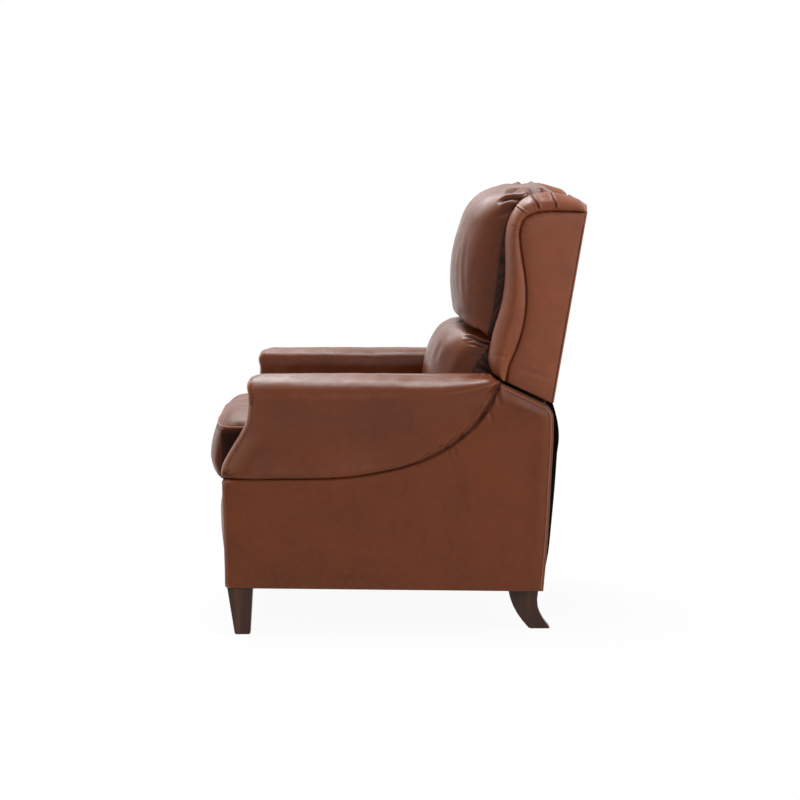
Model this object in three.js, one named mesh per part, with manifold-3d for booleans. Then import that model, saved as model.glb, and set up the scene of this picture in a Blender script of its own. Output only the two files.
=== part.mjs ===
import * as THREE from "three";
import { mergeVertices } from "three/addons/utils/BufferGeometryUtils.js";
import Module from "manifold-3d";

const wasm = await Module();
wasm.setup();

// Wingback push-back recliner in millimetres: +X is the sitter's left, -Y the front, +Z up.
// It stands on the floor at z = 0, upright and with the footrest stowed.
// Side outlines are [y, z] points; a share table holds shares of the lengths it is used with.

// Clearances
const seatGap = 0.3;
const pivotGap = 0.3;
const openPivotSlack = 2.8;

// Base: padded side panels with a wooden side board behind each
const panelOuterX = 375;
const panelThickness = 30;
const panelEdgeRadius = 5;
const panelFrontY = -404;
const panelLength = 772;
const panelBottomZ = 102;
const panelHeight = 498;
const boardThickness = 18;
const boardFrontY = -385;
const boardRearY = 340;
const boardStepY = 135;
const boardLowTopZ = 285;
const boardBottomZ = 112;
const frontRailY = -212;
const frontRailWidth = 24;
const frontRailHeight = 35;
const rearRailFrontY = 262;
const rearRailRearY = 343.5;
const rearRailBottomZ = 106;
const rearRailHeight = 34;

// Arms
const armInnerX = 265;
const armBulgeDepth = 13;
const armWaistDepth = 13;
const armTopZ = 608;
const armInnerBottomZ = 368;
const armFrontY = -341;
const armNoseLength = 69;
const armRearY = 224;
const armEndRadius = 14;

// Legs
const frontLegOuterX = 363;
const frontLegTopWidth = 54;
const frontLegFootWidth = 34;
const frontLegTopFrontY = -393;
const frontLegTopDepth = 59;
const frontLegFootFrontY = -376;
const frontLegFootDepth = 36;
const frontLegHeight = 110;
const rearLegOuterX = 300;
const rearLegTopWidth = 46;
const rearLegFootWidth = 34;
const rearLegTopFrontY = 267;
const rearLegTopDepth = 76;
const rearLegRakeLength = 51;
const rearLegFootDepth = 50;
const footEdgeRadius = 3;

// Seat
const seatHalfWidth = 255;
const seatFrontY = -446;
const seatLength = 523;
const seatBottomZ = 350.3;
const seatCrownHeight = 168;
const seatDrawInDepth = 6;
const seatRailHeight = 19;
const seatRailWidth = 28;
const seatFrontRailY = -338;
const seatFrontRailDepth = 26;
const seatRearRailInset = 32;
const seatRearRailDepth = 23;
const springWireDiameter = 4;
const springHalfWidth = 22;
const springSpacing = 108;
const springDropHeight = 4;

// Mechanism plates, from outside to inside
const plateThickness = 4;
const plateLayerGap = 0.5;
const basePlateOuterX = 264.6;
const carrierOuterX = 260.2;
const backBracketOuterX = 255.8;
const seatPlateOuterX = 246;
const pinRadius = 4;
const pinHeadRadius = 8;
const pinHeadHeight = 1.6;
const pivotBossRadius = 6;
const linkHalfWidth = 10;

// Pivots of the back and the seat
const backPivotY = 189;
const backPivotZ = 519;
const carrierTubeGap = 84;
const carrierTubeZ = 420;
const carrierTubeRadius = 9;
const tiltPivotInset = 32;
const tiltPivotZ = 336;
const tiltPinRadius = 5;
const basePlateFrontY = -190;
const basePlateRearY = 205;
const basePlateTopZ = 346;
const basePlateDepth = 40;
const baseRailFrontY = -330;
const baseRailRearY = 140;
const baseRailBottomZ = 298;
const baseRailHeight = 42;

// Pivots of the footrest linkage, stowed
const crankPivotY = -296.8;
const crankPivotZ = 296.7;
const drivePivotY = -260;
const drivePivotZ = 270.7;
const crossPivotY = -212.4;
const crossPivotZ = 221.6;
const crankEndY = -251.1;
const crankEndZ = 246.3;
const driveEndY = -216.4;
const driveEndZ = 165;
const seatPlateFrontY = -318;
const seatPlateDepth = 27;
const spreaderTubeY = -186;
const spreaderTubeZ = 306;
const spreaderRadius = 8;
const linkHoleRadius = 3.5;
const linkHoleEndDistance = 30;

// Footrest: lengths run down the stowed pad, heights stand out of its face
const padTopY = -402;
const padTopZ = 340;
const padLength = 190;
const padThickness = 33;
const padCrownHeight = 20;
const padHalfWidth = 250;
const padDrawInDepth = 4;
const padBoardThickness = 12;
const padBoardHalfWidth = 222;
const padBoardInset = 8;
const bracketFrontPivotLength = 58;
const bracketFrontPivotDepth = 50;
const bracketRearPivotLength = 104;
const bracketRearPivotDepth = 56;
const flipperPivotLength = 158;
const flipperPivotDepth = 56;
const bracketFlangeWidth = 42;
const bracketFlangeDistance = 72;
const bracketFlangeLength = 44;
const flipperDistance = 212;
const flipperLength = 90;
const flipperHalfWidth = 212;
const flipperTopDepth = 3;
const flipperThickness = 17;
const flipperCrownHeight = 7;
const flipperBoardThickness = 10;
const flipperBoardHalfWidth = 200;
const flipperBoardInset = 5;
const flipperArmHalfWidth = 9;
const flipperFlangeLength = 60;

// Back: heights run up the raked rear face, depths run forward from it
const backRakeDegrees = 9.6;
const backFootY = 366.3;
const backFootZ = 531;
const backPanelThickness = 10;
const backPanelHeight = 478;
const backPanelFootHeight = 10;
const backHalfWidth = 338;
const postWidth = 25.5;
const postDepth = 40;
const postOuterX = 251.5;
const postFootHeight = -28;
const postLength = 458;
const backRailDepth = 24;
const backRailHeight = 34;
const cushionHalfWidth = 250;
const wingInnerX = 256.2;
const wingEdgeRadius = 14;
const wingFrontY = 218;
const wingDepth = 229;
const wingBottomZ = 531;
const wingHeight = 499;
const pillowFrontY = 135;
const pillowDepth = 265;
const pillowBottomZ = 712;
const pillowHeight = 335;
const pillowDrawInDepth = 5;
const lumbarFrontY = 66;
const lumbarDepth = 180;
const lumbarBottomZ = 497;
const lumbarHeight = 222;
const lumbarDrawInDepth = 4;
const cushionJoinGap = 1.5;
const flapThickness = 4;
const flapUpperBottomZ = 418;
const flapBulgeDepth = 16;
const flapLowerTopZ = 425;
const flapLowerTurnZ = 172;
const flapLowerTopY = 379;
const flapLowerTurnY = 358;
const flapHalfWidth = 344.5;

// Shares of the panel's length and height
const seamShares = [
  [0.0194, 0.5361], [0.3316, 0.5402], [0.3964, 0.5482], [0.4715, 0.5663], [0.5415, 0.5904],
  [0.6062, 0.6245], [0.6697, 0.6727], [0.7293, 0.741], [0.7772, 0.8153], [0.8096, 0.8896],
  [0.8251, 0.9478], [0.838, 0.998],
];
const panelFrontShares = [[0, 0.52], [0.0078, 0.0281], [0.0148, 0.018]];
const panelRearShares = [
  [0.9715, 0], [0.9845, 0.243], [0.9935, 0.526], [1, 0.761], [0.9985, 0.83], [0.993, 0.8554],
  [0.978, 0.8815],
];

// Shares of the arm's height, with shares of its reach, bulge, waist or thickness
const armNoseShares = [
  [0, 1], [0.105, 0.913], [0.29, 0.58], [0.42, 0.3], [0.5, 0.159], [0.6, 0.06], [0.8, 0],
  [0.9, 0.058], [0.955, 0], [1, -0.28],
];
const armEndRoundShare = 0.04;
const armHeightShares = [0, 0.12, 0.33, 0.5, 0.67, 0.8, 0.89, 0.95, 0.985, 1];
const armOuterShares = [0, -0.7, -1, -0.55, 0.4, 1, 0.85, 0.1, -1.1, -2.6];
const armInnerShares = [0, 0, 0, 0, 0, 0, 0.01, 0.06, 0.18, 0.38];

// Shares of each soft form's reach and height, from its lower front round to its rear
const seatBottomMiddleShares = [[0.006, 0.16], [0.02, 0.07], [0.07, 0], [0.5, 0], [0.96, 0], [1, 0.06]];
const seatTopMiddleShares = [
  [0, 0.28], [0.008, 0.5], [0.04, 0.76], [0.1, 0.95], [0.2, 1], [0.5, 0.97], [0.88, 0.82], [1, 0.62],
];
const seatBottomSideShares = [[0.072, 0.1], [0.08, 0.03], [0.12, 0], [0.5, 0], [0.96, 0], [0.99, 0.06]];
const seatTopSideShares = [
  [0.068, 0.24], [0.068, 0.45], [0.072, 0.68], [0.1, 0.735], [0.2, 0.745], [0.5, 0.745], [0.88, 0.72],
  [0.99, 0.62],
];
const pillowFrontMiddleShares = [
  [0.2, 0.012], [0.09, 0.02], [0.03, 0.1], [0, 0.29], [0.02, 0.46], [0.075, 0.65], [0.15, 0.81],
  [0.28, 0.92], [0.46, 0.985], [0.68, 1], [0.9, 0.985],
];
const pillowRearStartShares = [[0.4, 0.004]];
const pillowFrontSideShares = [
  [0.3, 0.01], [0.24, 0.03], [0.2, 0.12], [0.17, 0.29], [0.18, 0.46], [0.22, 0.63], [0.28, 0.77],
  [0.38, 0.86], [0.52, 0.92], [0.7, 0.94], [0.88, 0.93],
];
const lumbarFrontMiddleShares = [
  [0.12, 0], [0.045, 0.08], [0.01, 0.2], [0, 0.36], [0.03, 0.52], [0.1, 0.7], [0.2, 0.84], [0.32, 0.93],
  [0.48, 0.965],
];
const lumbarRearStartShares = [[0.5, 0]];
const lumbarRearTopShare = 0.72;
const lumbarFrontSideShares = [
  [0.3, 0.02], [0.23, 0.09], [0.19, 0.2], [0.18, 0.36], [0.21, 0.52], [0.27, 0.68], [0.36, 0.8], [0.46, 0.88],
  [0.6, 0.955],
];

// Shares of the wing's depth and height, from the lower front corner over the top
const wingRollShares = [
  [0.08, 0.15], [0.015, 0.18], [0, 0.21], [0.02, 0.28], [0.066, 0.379], [0.127, 0.473], [0.162, 0.575],
  [0.166, 0.673], [0.166, 0.768], [0.183, 0.848], [0.245, 0.916], [0.345, 0.97], [0.498, 1], [0.668, 1],
  [0.886, 0.974],
];

// Measures

const backRake = THREE.MathUtils.degToRad(backRakeDegrees);
const panelInnerX = panelOuterX - panelThickness;
const boardOuterX = panelInnerX - seatGap;
const boardInnerX = boardOuterX - boardThickness;
const boardTopZ = armInnerBottomZ - seatGap;
const layerStep = plateThickness + plateLayerGap;
const driveOuterX = seatPlateOuterX - layerStep;
const swingOuterX = driveOuterX - layerStep;
const crankOuterX = swingOuterX - layerStep;
const flipperArmOuterX = crankOuterX - layerStep;
const seatRailTopZ = seatBottomZ - seatGap;
const seatRailOuterX = seatPlateOuterX - plateThickness - seatGap;

const seatRearY = seatFrontY + seatLength;
const seatRearRailFrontY = seatRearY - seatRearRailInset;
const seatPlateRearY = seatRearRailFrontY + seatRearRailDepth;
const carrierTube = [seatRearY + carrierTubeGap + carrierTubeRadius, carrierTubeZ];
const backPivot = [backPivotY, backPivotZ];
const tiltPivot = [seatRearY - tiltPivotInset, tiltPivotZ];
const crankPivot = [crankPivotY, crankPivotZ];
const drivePivot = [drivePivotY, drivePivotZ];
const crossPivot = [crossPivotY, crossPivotZ];
const crankEnd = [crankEndY, crankEndZ];
const driveEnd = [driveEndY, driveEndZ];
const spreaderTube = [spreaderTubeY, spreaderTubeZ];
const bracketFrontPivot = { along: bracketFrontPivotLength, out: -bracketFrontPivotDepth };
const bracketRearPivot = { along: bracketRearPivotLength, out: -bracketRearPivotDepth };
const flipperPivot = { along: flipperPivotLength, out: -flipperPivotDepth };
const flipperTopOut = -flipperTopDepth;

const lerp = THREE.MathUtils.lerp;
const circleSides = 14;

// A point up and in front of the raked rear face of the back.
function backPoint(height, depth) {
  return [
    backFootY + height * Math.sin(backRake) - depth * Math.cos(backRake),
    backFootZ + height * Math.cos(backRake) + depth * Math.sin(backRake),
  ];
}

// A point of the stowed footrest, down along its pad and out of its face.
function padPoint({ along, out }) {
  return [padTopY - out, padTopZ - along];
}

// A point of the flipper, named as it lies when open and turned half round its pivot to stow it.
function flipperPoint({ along, out }) {
  return padPoint({ along: 2 * flipperPivot.along - along, out: 2 * flipperPivot.out - out });
}

function fromShares(shares, yLow, zLow, length, height) {
  return shares.map(([y, z]) => [yLow + y * length, zLow + z * height]);
}

function readTable(table, value) {
  const next = table.findIndex(([key]) => key >= value);
  if (next < 0) return table[table.length - 1][1];
  if (next === 0) return table[0][1];
  const [keyA, a] = table[next - 1];
  const [keyB, b] = table[next];
  return lerp(a, b, (value - keyA) / (keyB - keyA));
}

// Solids

function solidOf(geometry) {
  const bare = geometry.index ? geometry.toNonIndexed() : geometry.clone();
  bare.deleteAttribute("normal");
  bare.deleteAttribute("uv");
  const merged = mergeVertices(bare, 1e-4);
  return new wasm.Manifold(
    new wasm.Mesh({
      numProp: 3,
      vertProperties: merged.attributes.position.array,
      triVerts: new Uint32Array(merged.index.array),
    }),
  );
}

function geometryOf(solid) {
  const { vertProperties, triVerts } = solid.getMesh();
  const geometry = new THREE.BufferGeometry();
  geometry.setAttribute("position", new THREE.BufferAttribute(vertProperties, 3));
  geometry.setIndex(new THREE.BufferAttribute(triVerts, 1));
  return geometry;
}

function joined(...solids) {
  return solids.reduce((a, b) => a.add(b));
}

function cut(solid, ...tools) {
  return tools.reduce((a, b) => a.subtract(b), solid);
}

// Shape coordinates become y and z, and the depth becomes x.
const acrossTurn = new THREE.Matrix4().makeBasis(
  new THREE.Vector3(0, 1, 0),
  new THREE.Vector3(0, 0, 1),
  new THREE.Vector3(1, 0, 0),
);

function shapeOf(outline) {
  return new THREE.Shape(outline.map(([y, z]) => new THREE.Vector2(y, z)));
}

function slab(outline, xLow, xHigh, round = 0) {
  const geometry = new THREE.ExtrudeGeometry(shapeOf(outline), {
    depth: xHigh - xLow - 2 * round,
    bevelEnabled: round > 0,
    bevelThickness: round,
    bevelSize: round,
    bevelOffset: -round,
    bevelSegments: 2,
  });
  return geometry.applyMatrix4(acrossTurn).translate(xLow + round, 0, 0);
}

function block(xLow, xHigh, yLow, yHigh, zLow, zHigh) {
  const geometry = new THREE.BoxGeometry(xHigh - xLow, yHigh - yLow, zHigh - zLow);
  return geometry.translate((xLow + xHigh) / 2, (yLow + yHigh) / 2, (zLow + zHigh) / 2);
}

function rodAcross([y, z], radius, xLow, xHigh) {
  const rod = new THREE.CylinderGeometry(radius, radius, xHigh - xLow, circleSides);
  return rod.rotateZ(Math.PI / 2).translate((xLow + xHigh) / 2, y, z);
}

// One stretch of a link: a bar with round ends about two points.
function stadium([yA, zA], [yB, zB], halfWidth) {
  const angle = Math.atan2(zB - zA, yB - yA);
  const shape = new THREE.Shape();
  shape.absarc(yA, zA, halfWidth, angle + Math.PI / 2, angle + 1.5 * Math.PI);
  shape.absarc(yB, zB, halfWidth, angle - Math.PI / 2, angle + Math.PI / 2);
  return shape;
}

function barOf(route, halfWidth, xLow, xHigh) {
  const stretches = route.slice(1).map((point, i) => {
    const geometry = new THREE.ExtrudeGeometry(stadium(route[i], point, halfWidth), {
      depth: xHigh - xLow,
      bevelEnabled: false,
      curveSegments: 5,
    });
    return solidOf(geometry.applyMatrix4(acrossTurn).translate(xLow, 0, 0));
  });
  return joined(...stretches);
}

function hole(point, radius) {
  return solidOf(rodAcross(point, radius, -panelOuterX, panelOuterX));
}

// A pin with a flat head at its far end, fused to the plate that carries it.
function headedPin(point, radius, xFrom, xTo) {
  const sign = Math.sign(xTo - xFrom);
  const shank = rodAcross(point, radius, Math.min(xFrom, xTo), Math.max(xFrom, xTo));
  const headFrom = xTo;
  const headTo = xTo + sign * pinHeadHeight;
  const head = rodAcross(point, pinHeadRadius, Math.min(headFrom, headTo), Math.max(headFrom, headTo));
  return joined(solidOf(shank), solidOf(head));
}

// Joins rings of equal count into one closed skin; each ring runs out along one chain and back
// along another, and the ends are closed by rungs between the two chains.
function loft(rings) {
  const count = rings[0].length;
  const positions = rings.flat(2);
  const index = [];
  for (let r = 0; r + 1 < rings.length; r++) {
    for (let k = 0; k < count; k++) {
      const a = r * count + k;
      const b = r * count + ((k + 1) % count);
      index.push(a, b, b + count, a, b + count, a + count);
    }
  }
  const last = (rings.length - 1) * count;
  for (let k = 0; k + 1 < count / 2; k++) {
    const opposite = count - 1 - k;
    index.push(k, opposite, k + 1, k + 1, opposite, opposite - 1);
    index.push(last + k, last + k + 1, last + opposite);
    index.push(last + k + 1, last + opposite - 1, last + opposite);
  }
  const geometry = new THREE.BufferGeometry();
  geometry.setAttribute("position", new THREE.Float32BufferAttribute(positions, 3));
  geometry.setIndex(index);
  return facingOut(geometry);
}

function facingOut(geometry) {
  const index = geometry.index.array;
  const corners = [0, 1, 2].map(() => new THREE.Vector3());
  let volume = 0;
  for (let i = 0; i < index.length; i += 3) {
    corners.forEach((corner, k) => corner.fromBufferAttribute(geometry.attributes.position, index[i + k]));
    volume += corners[0].dot(corners[1].clone().cross(corners[2]));
  }
  if (volume < 0) geometry.setIndex(Array.from(index).reverse());
  return geometry;
}

function smoothChain(points, count) {
  const curve = new THREE.SplineCurve(points.map(([y, z]) => new THREE.Vector2(y, z)));
  const heights = points.map(([, z]) => z);
  const lowest = Math.min(...heights);
  const highest = Math.max(...heights);
  return curve.getSpacedPoints(count - 1).map((p) => [p.x, THREE.MathUtils.clamp(p.y, lowest, highest)]);
}

// A crowned soft form: its side outlines swell to the middle ones, and its sides draw in.
function softForm({ halfWidth, drawIn, middle, side, samples = 13, ringCount = 15, power = 4 }) {
  const chains = [...middle, ...side].map((chain) => smoothChain(chain, samples));
  const rings = [];
  for (let r = 0; r < ringCount; r++) {
    const across = Math.sin((r / (ringCount - 1) - 0.5) * Math.PI);
    const swell = Math.sqrt(1 - Math.abs(across) ** power);
    const chainPoint = (chain, k) => {
      const [ySide, zSide] = chains[chain + 2][k];
      const [yMiddle, zMiddle] = chains[chain][k];
      const x = across * (halfWidth - drawIn * Math.sin((Math.PI * k) / (samples - 1)));
      return [x, lerp(ySide, yMiddle, swell), lerp(zSide, zMiddle, swell)];
    };
    const out = Array.from({ length: samples }, (_, k) => chainPoint(0, k));
    const back = Array.from({ length: samples }, (_, k) => chainPoint(1, samples - 1 - k));
    rings.push([...out, ...back]);
  }
  return loft(rings);
}

// Materials
const leather = new THREE.MeshStandardMaterial({ color: 0x6a3b27, roughness: 0.42 });
const walnut = new THREE.MeshStandardMaterial({ color: 0x44302a, roughness: 0.45 });
const plywood = new THREE.MeshStandardMaterial({ color: 0xb08d62, roughness: 0.8 });
const steel = new THREE.MeshStandardMaterial({ color: 0x8c8d8c, roughness: 0.4, metalness: 1 });
const lining = new THREE.MeshStandardMaterial({ color: 0x1a1614, roughness: 0.95 });

const chair = new THREE.Group();

function add(name, geometry, material) {
  const mesh = new THREE.Mesh(geometry, material);
  mesh.name = name;
  chair.add(mesh);
}

// The left piece is at +X and the right piece is its mirror image.
function addPair(name, geometry, material) {
  add(`left_${name}`, geometry, material);
  const mirrored = geometry.clone();
  mirrored.deleteAttribute("normal");
  mirrored.scale(-1, 1, 1);
  const flat = mirrored.index ? mirrored : mergeVertices(mirrored, 1e-4);
  flat.setIndex(Array.from(flat.index.array).reverse());
  add(`right_${name}`, flat, material);
}

function addPairSolid(name, solid, material) {
  addPair(name, geometryOf(solid), material);
}

// Base

const panelArea = (shares) => fromShares(shares, panelFrontY, panelBottomZ, panelLength, panelHeight);
const seamLine = panelArea(seamShares);

// The side panel turns the front corner and covers the front of the side frame up to the footrest.
function sidePanel() {
  const outline = [...panelArea(panelFrontShares), ...panelArea(panelRearShares), ...seamLine.toReversed()];
  const side = slab(outline, panelInnerX, panelOuterX, panelEdgeRadius);
  const topZ = boardTopZ - seatGap;
  const frontRows = panelArea(panelFrontShares).toReversed().map(([y, height]) => [height, y]);
  const frontAt = (z) => readTable(frontRows, z);
  const rearY = boardFrontY - seatGap;
  const turned = [
    [frontAt(boardBottomZ), boardBottomZ],
    [rearY, boardBottomZ],
    [rearY, topZ],
    [frontAt(topZ), topZ],
  ];
  const front = slab(turned, armInnerX, panelOuterX - panelThickness / 2, panelEdgeRadius / 2);
  return joined(solidOf(side), solidOf(front));
}

function sideBoard() {
  const outline = [
    [boardFrontY, boardBottomZ],
    [boardRearY, boardBottomZ],
    [boardRearY, boardLowTopZ],
    [boardStepY, boardLowTopZ],
    [boardStepY, boardTopZ],
    [boardFrontY, boardTopZ],
  ];
  return slab(outline, boardInnerX, boardOuterX);
}

function arm() {
  const noseTable = armNoseShares.map(([z, y]) => [lerp(armInnerBottomZ, armTopZ, z), y]);
  const noseY = (z) => armFrontY - armNoseLength * readTable(noseTable, z);
  const armWidth = panelOuterX - armInnerX;
  const placed = (x, z, along) => [x, lerp(noseY(z), armRearY, along), z];
  const lowFrontY = noseY(seamLine[0][1]);
  const seamStations = seamLine.map(([y]) => y).filter((y) => y > lowFrontY + armEndRadius && y < armRearY);
  const frontStations = [lowFrontY, lowFrontY + armEndRadius / 4, lowFrontY + armEndRadius];
  const middleStation = (seamLine[0][0] + seamLine[1][0]) / 2;
  const stations = [...frontStations, ...seamStations, middleStation, armRearY].sort((a, b) => a - b);
  const rings = stations.map((yLow) => {
    const seamZ = readTable(seamLine, yLow) + seatGap;
    const along = (yLow - noseY(seamZ)) / (armRearY - noseY(seamZ));
    const rounding = Math.max(0, 1 - (yLow - lowFrontY) / armEndRadius);
    const full = 1 - armEndRoundShare * rounding ** 2;
    const topZ = lerp(seamZ, armTopZ, full);
    const outer = armHeightShares.map((height, k) => {
      const share = armOuterShares[k] * full;
      const x = panelOuterX + share * (share < 0 ? armWaistDepth : armBulgeDepth);
      return placed(x, lerp(seamZ, topZ, height), along);
    });
    const stepX = panelInnerX - seatGap;
    const step = [placed(stepX, armInnerBottomZ, along), placed(stepX, seamZ, along)];
    const inner = [...armHeightShares].map((height, k) =>
      placed(armInnerX + armInnerShares[k] * armWidth, lerp(armInnerBottomZ, topZ, height), along),
    );
    const low = armHeightShares[1] / 3;
    const lowRungs = [low, 2 * low].map((h) => placed(armInnerX, lerp(armInnerBottomZ, topZ, h), along));
    return [...step, ...outer, ...[inner[0], ...lowRungs, ...inner.slice(1)].toReversed()];
  });
  return loft(rings);
}

function taperedLeg(sections) {
  const rings = sections.map(({ z, xIn, xOut, yFront, yRear }) => [
    [xIn, yFront, z], [xOut, yFront, z], [xOut, yRear, z], [xIn, yRear, z],
  ]);
  return loft(rings);
}

function frontLeg() {
  const section = (z, inset) => {
    const up = z / frontLegHeight;
    const yFront = lerp(frontLegFootFrontY, frontLegTopFrontY, up) + inset;
    const depth = lerp(frontLegFootDepth, frontLegTopDepth, up) - 2 * inset;
    const width = lerp(frontLegFootWidth, frontLegTopWidth, up) - inset;
    return { z, xIn: frontLegOuterX - width, xOut: frontLegOuterX - inset, yFront, yRear: yFront + depth };
  };
  return taperedLeg([section(0, footEdgeRadius), section(footEdgeRadius, 0), section(frontLegHeight, 0)]);
}

// The rear leg is swept back in a curve that is steepest at the floor.
function rearLeg() {
  const topZ = rearRailBottomZ - seatGap;
  const levels = 6;
  const section = (z, inset) => {
    const down = 1 - z / topZ;
    const yFront = rearLegTopFrontY + rearLegRakeLength * down ** 2 + inset;
    const depth = lerp(rearLegTopDepth, rearLegFootDepth, Math.sin((down * Math.PI) / 2)) - 2 * inset;
    const width = lerp(rearLegTopWidth, rearLegFootWidth, down) - 2 * inset;
    const xIn = rearLegOuterX - inset - width;
    return { z, xIn, xOut: rearLegOuterX - inset, yFront, yRear: yFront + depth };
  };
  const sections = [section(0, footEdgeRadius)];
  for (let k = 0; k <= levels; k++) sections.push(section(lerp(footEdgeRadius, topZ, k / levels), 0));
  return taperedLeg(sections);
}

function basePlate() {
  const xHigh = basePlateOuterX;
  const xLow = xHigh - plateThickness;
  const lowZ = basePlateTopZ - basePlateDepth;
  const bossWidth = 2 * pinHeadRadius;
  const bar = slab(
    [
      [basePlateFrontY, lowZ],
      [basePlateRearY, lowZ],
      [basePlateRearY, basePlateTopZ],
      [basePlateFrontY, basePlateTopZ],
    ],
    xLow,
    xHigh,
  );
  const footY = basePlateRearY - bossWidth;
  const footZ = basePlateTopZ - bossWidth;
  const upright = barOf([[footY, footZ], backPivot], bossWidth, xLow, xHigh);
  const backPin = rodAcross(backPivot, pivotBossRadius, postOuterX, xLow + plateThickness / 2);
  const plateMiddleX = xLow + plateThickness / 2;
  const tiltPin = rodAcross(tiltPivot, tiltPinRadius, seatPlateOuterX - plateThickness, plateMiddleX);
  const tiltCollar = rodAcross(tiltPivot, pinHeadRadius, seatPlateOuterX + pivotGap, plateMiddleX);
  return joined(solidOf(bar), upright, ...[backPin, tiltPin, tiltCollar].map(solidOf));
}

function buildBase() {
  addPairSolid("side_panel", sidePanel(), leather);
  addPair("side_board", sideBoard(), plywood);
  addPair("arm", arm(), leather);
  addPair("front_leg", frontLeg(), walnut);
  addPair("rear_leg", rearLeg(), walnut);
  addPairSolid("base_plate", basePlate(), steel);
  const railInnerX = basePlateOuterX + seatGap;
  const railOuterX = boardInnerX - seatGap;
  const railTopZ = baseRailBottomZ + baseRailHeight;
  addPair(
    "base_rail",
    block(railInnerX, railOuterX, baseRailFrontY, baseRailRearY, baseRailBottomZ, railTopZ),
    plywood,
  );
  const halfWidth = boardInnerX - seatGap;
  const frontLowY = frontRailY - frontRailWidth / 2;
  const frontHighY = frontRailY + frontRailWidth / 2;
  add(
    "front_cross_rail",
    block(-halfWidth, halfWidth, frontLowY, frontHighY, boardBottomZ, boardBottomZ + frontRailHeight),
    plywood,
  );
  const rearTopZ = rearRailBottomZ + rearRailHeight;
  add(
    "rear_cross_rail",
    block(-halfWidth, halfWidth, rearRailFrontY, rearRailRearY, rearRailBottomZ, rearTopZ),
    plywood,
  );
  const flapInner = [
    [rearRailRearY + seatGap, rearRailBottomZ],
    [rearRailRearY + seatGap, rearTopZ],
    [flapLowerTurnY - flapThickness, flapLowerTurnZ],
    [flapLowerTopY - flapThickness, flapLowerTopZ],
  ];
  const flapOuter = flapInner.toReversed().map(([y, z]) => [y + flapThickness, z]);
  const flapOutline = [...flapInner, ...flapOuter].toReversed();
  add("rear_flap_lower", slab(flapOutline, -flapHalfWidth, flapHalfWidth), lining);
}

// Seat

const seatArea = (shares) => fromShares(shares, seatFrontY, seatBottomZ, seatLength, seatCrownHeight);

function seatCushion() {
  return softForm({
    halfWidth: seatHalfWidth,
    drawIn: seatDrawInDepth,
    middle: [seatArea(seatBottomMiddleShares), seatArea(seatTopMiddleShares)],
    side: [seatArea(seatBottomSideShares), seatArea(seatTopSideShares)],
    samples: 16,
    ringCount: 17,
  });
}

function seatPlate() {
  const topZ = seatRailTopZ;
  const lowZ = topZ - seatPlateDepth;
  const round = 2 * pinHeadRadius;
  const outline = [
    [seatPlateFrontY, topZ],
    [seatPlateFrontY, crankPivotZ - round / 2],
    [crankPivotY - round / 2, crankPivotZ - round],
    [drivePivotY - round / 2, drivePivotZ - round],
    [drivePivotY + round / 2, drivePivotZ - round],
    [spreaderTubeY, spreaderTubeZ - round],
    [spreaderTubeY + round, spreaderTubeZ - round / 2],
    [spreaderTubeY + 2 * round, lowZ],
    [seatPlateRearY, lowZ],
    [seatPlateRearY, topZ],
  ];
  const plate = solidOf(slab(outline, seatPlateOuterX - plateThickness, seatPlateOuterX));
  const pinHole = pinRadius + pivotGap;
  return cut(
    plate,
    hole(crankPivot, pinHole),
    hole(drivePivot, pinHole),
    hole(tiltPivot, tiltPinRadius + pivotGap),
  );
}

// A zigzag spring wire of round bends, in one plane between the front and rear seat rails.
const springBends = 10;
const springSides = 6;
const springStepsPerBend = 5;

function springRoute(xMiddle) {
  const yStart = seatFrontRailY + seatFrontRailDepth + seatGap;
  const yEnd = seatRearRailFrontY - seatGap;
  const z = seatRailTopZ - springDropHeight - springWireDiameter / 2;
  const steps = springBends * springStepsPerBend;
  return Array.from({ length: steps + 1 }, (_, i) => {
    const share = i / steps;
    const swing = Math.sin(share * springBends * Math.PI);
    const square = Math.sign(swing) * Math.abs(swing) ** 0.6;
    return new THREE.Vector3(xMiddle + springHalfWidth * square, lerp(yStart, yEnd, share), z);
  });
}

// The least distance between parts of one wire that lie more than a bend apart, less its thickness.
function leastSelfGap(route) {
  let least = Infinity;
  for (let i = 0; i < route.length; i++) {
    for (let j = i + springStepsPerBend; j < route.length; j++) {
      least = Math.min(least, route[i].distanceTo(route[j]) - springWireDiameter);
    }
  }
  return least;
}

function tubeAlong(route, radius, sides) {
  const up = new THREE.Vector3(0, 0, 1);
  const rings = route.map((point, i) => {
    const before = route[Math.max(i - 1, 0)];
    const after = route[Math.min(i + 1, route.length - 1)];
    const ahead = after.clone().sub(before);
    if (i === 0 || i === route.length - 1) ahead.set(0, 1, 0);
    const side = ahead.normalize().cross(up).normalize();
    return Array.from({ length: sides }, (_, k) => {
      const angle = (2 * Math.PI * (k + 0.5)) / sides;
      const offset = side.clone().multiplyScalar(radius * Math.cos(angle));
      offset.addScaledVector(up, radius * Math.sin(angle));
      return point.clone().add(offset).toArray();
    });
  });
  return loft(rings);
}

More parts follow.
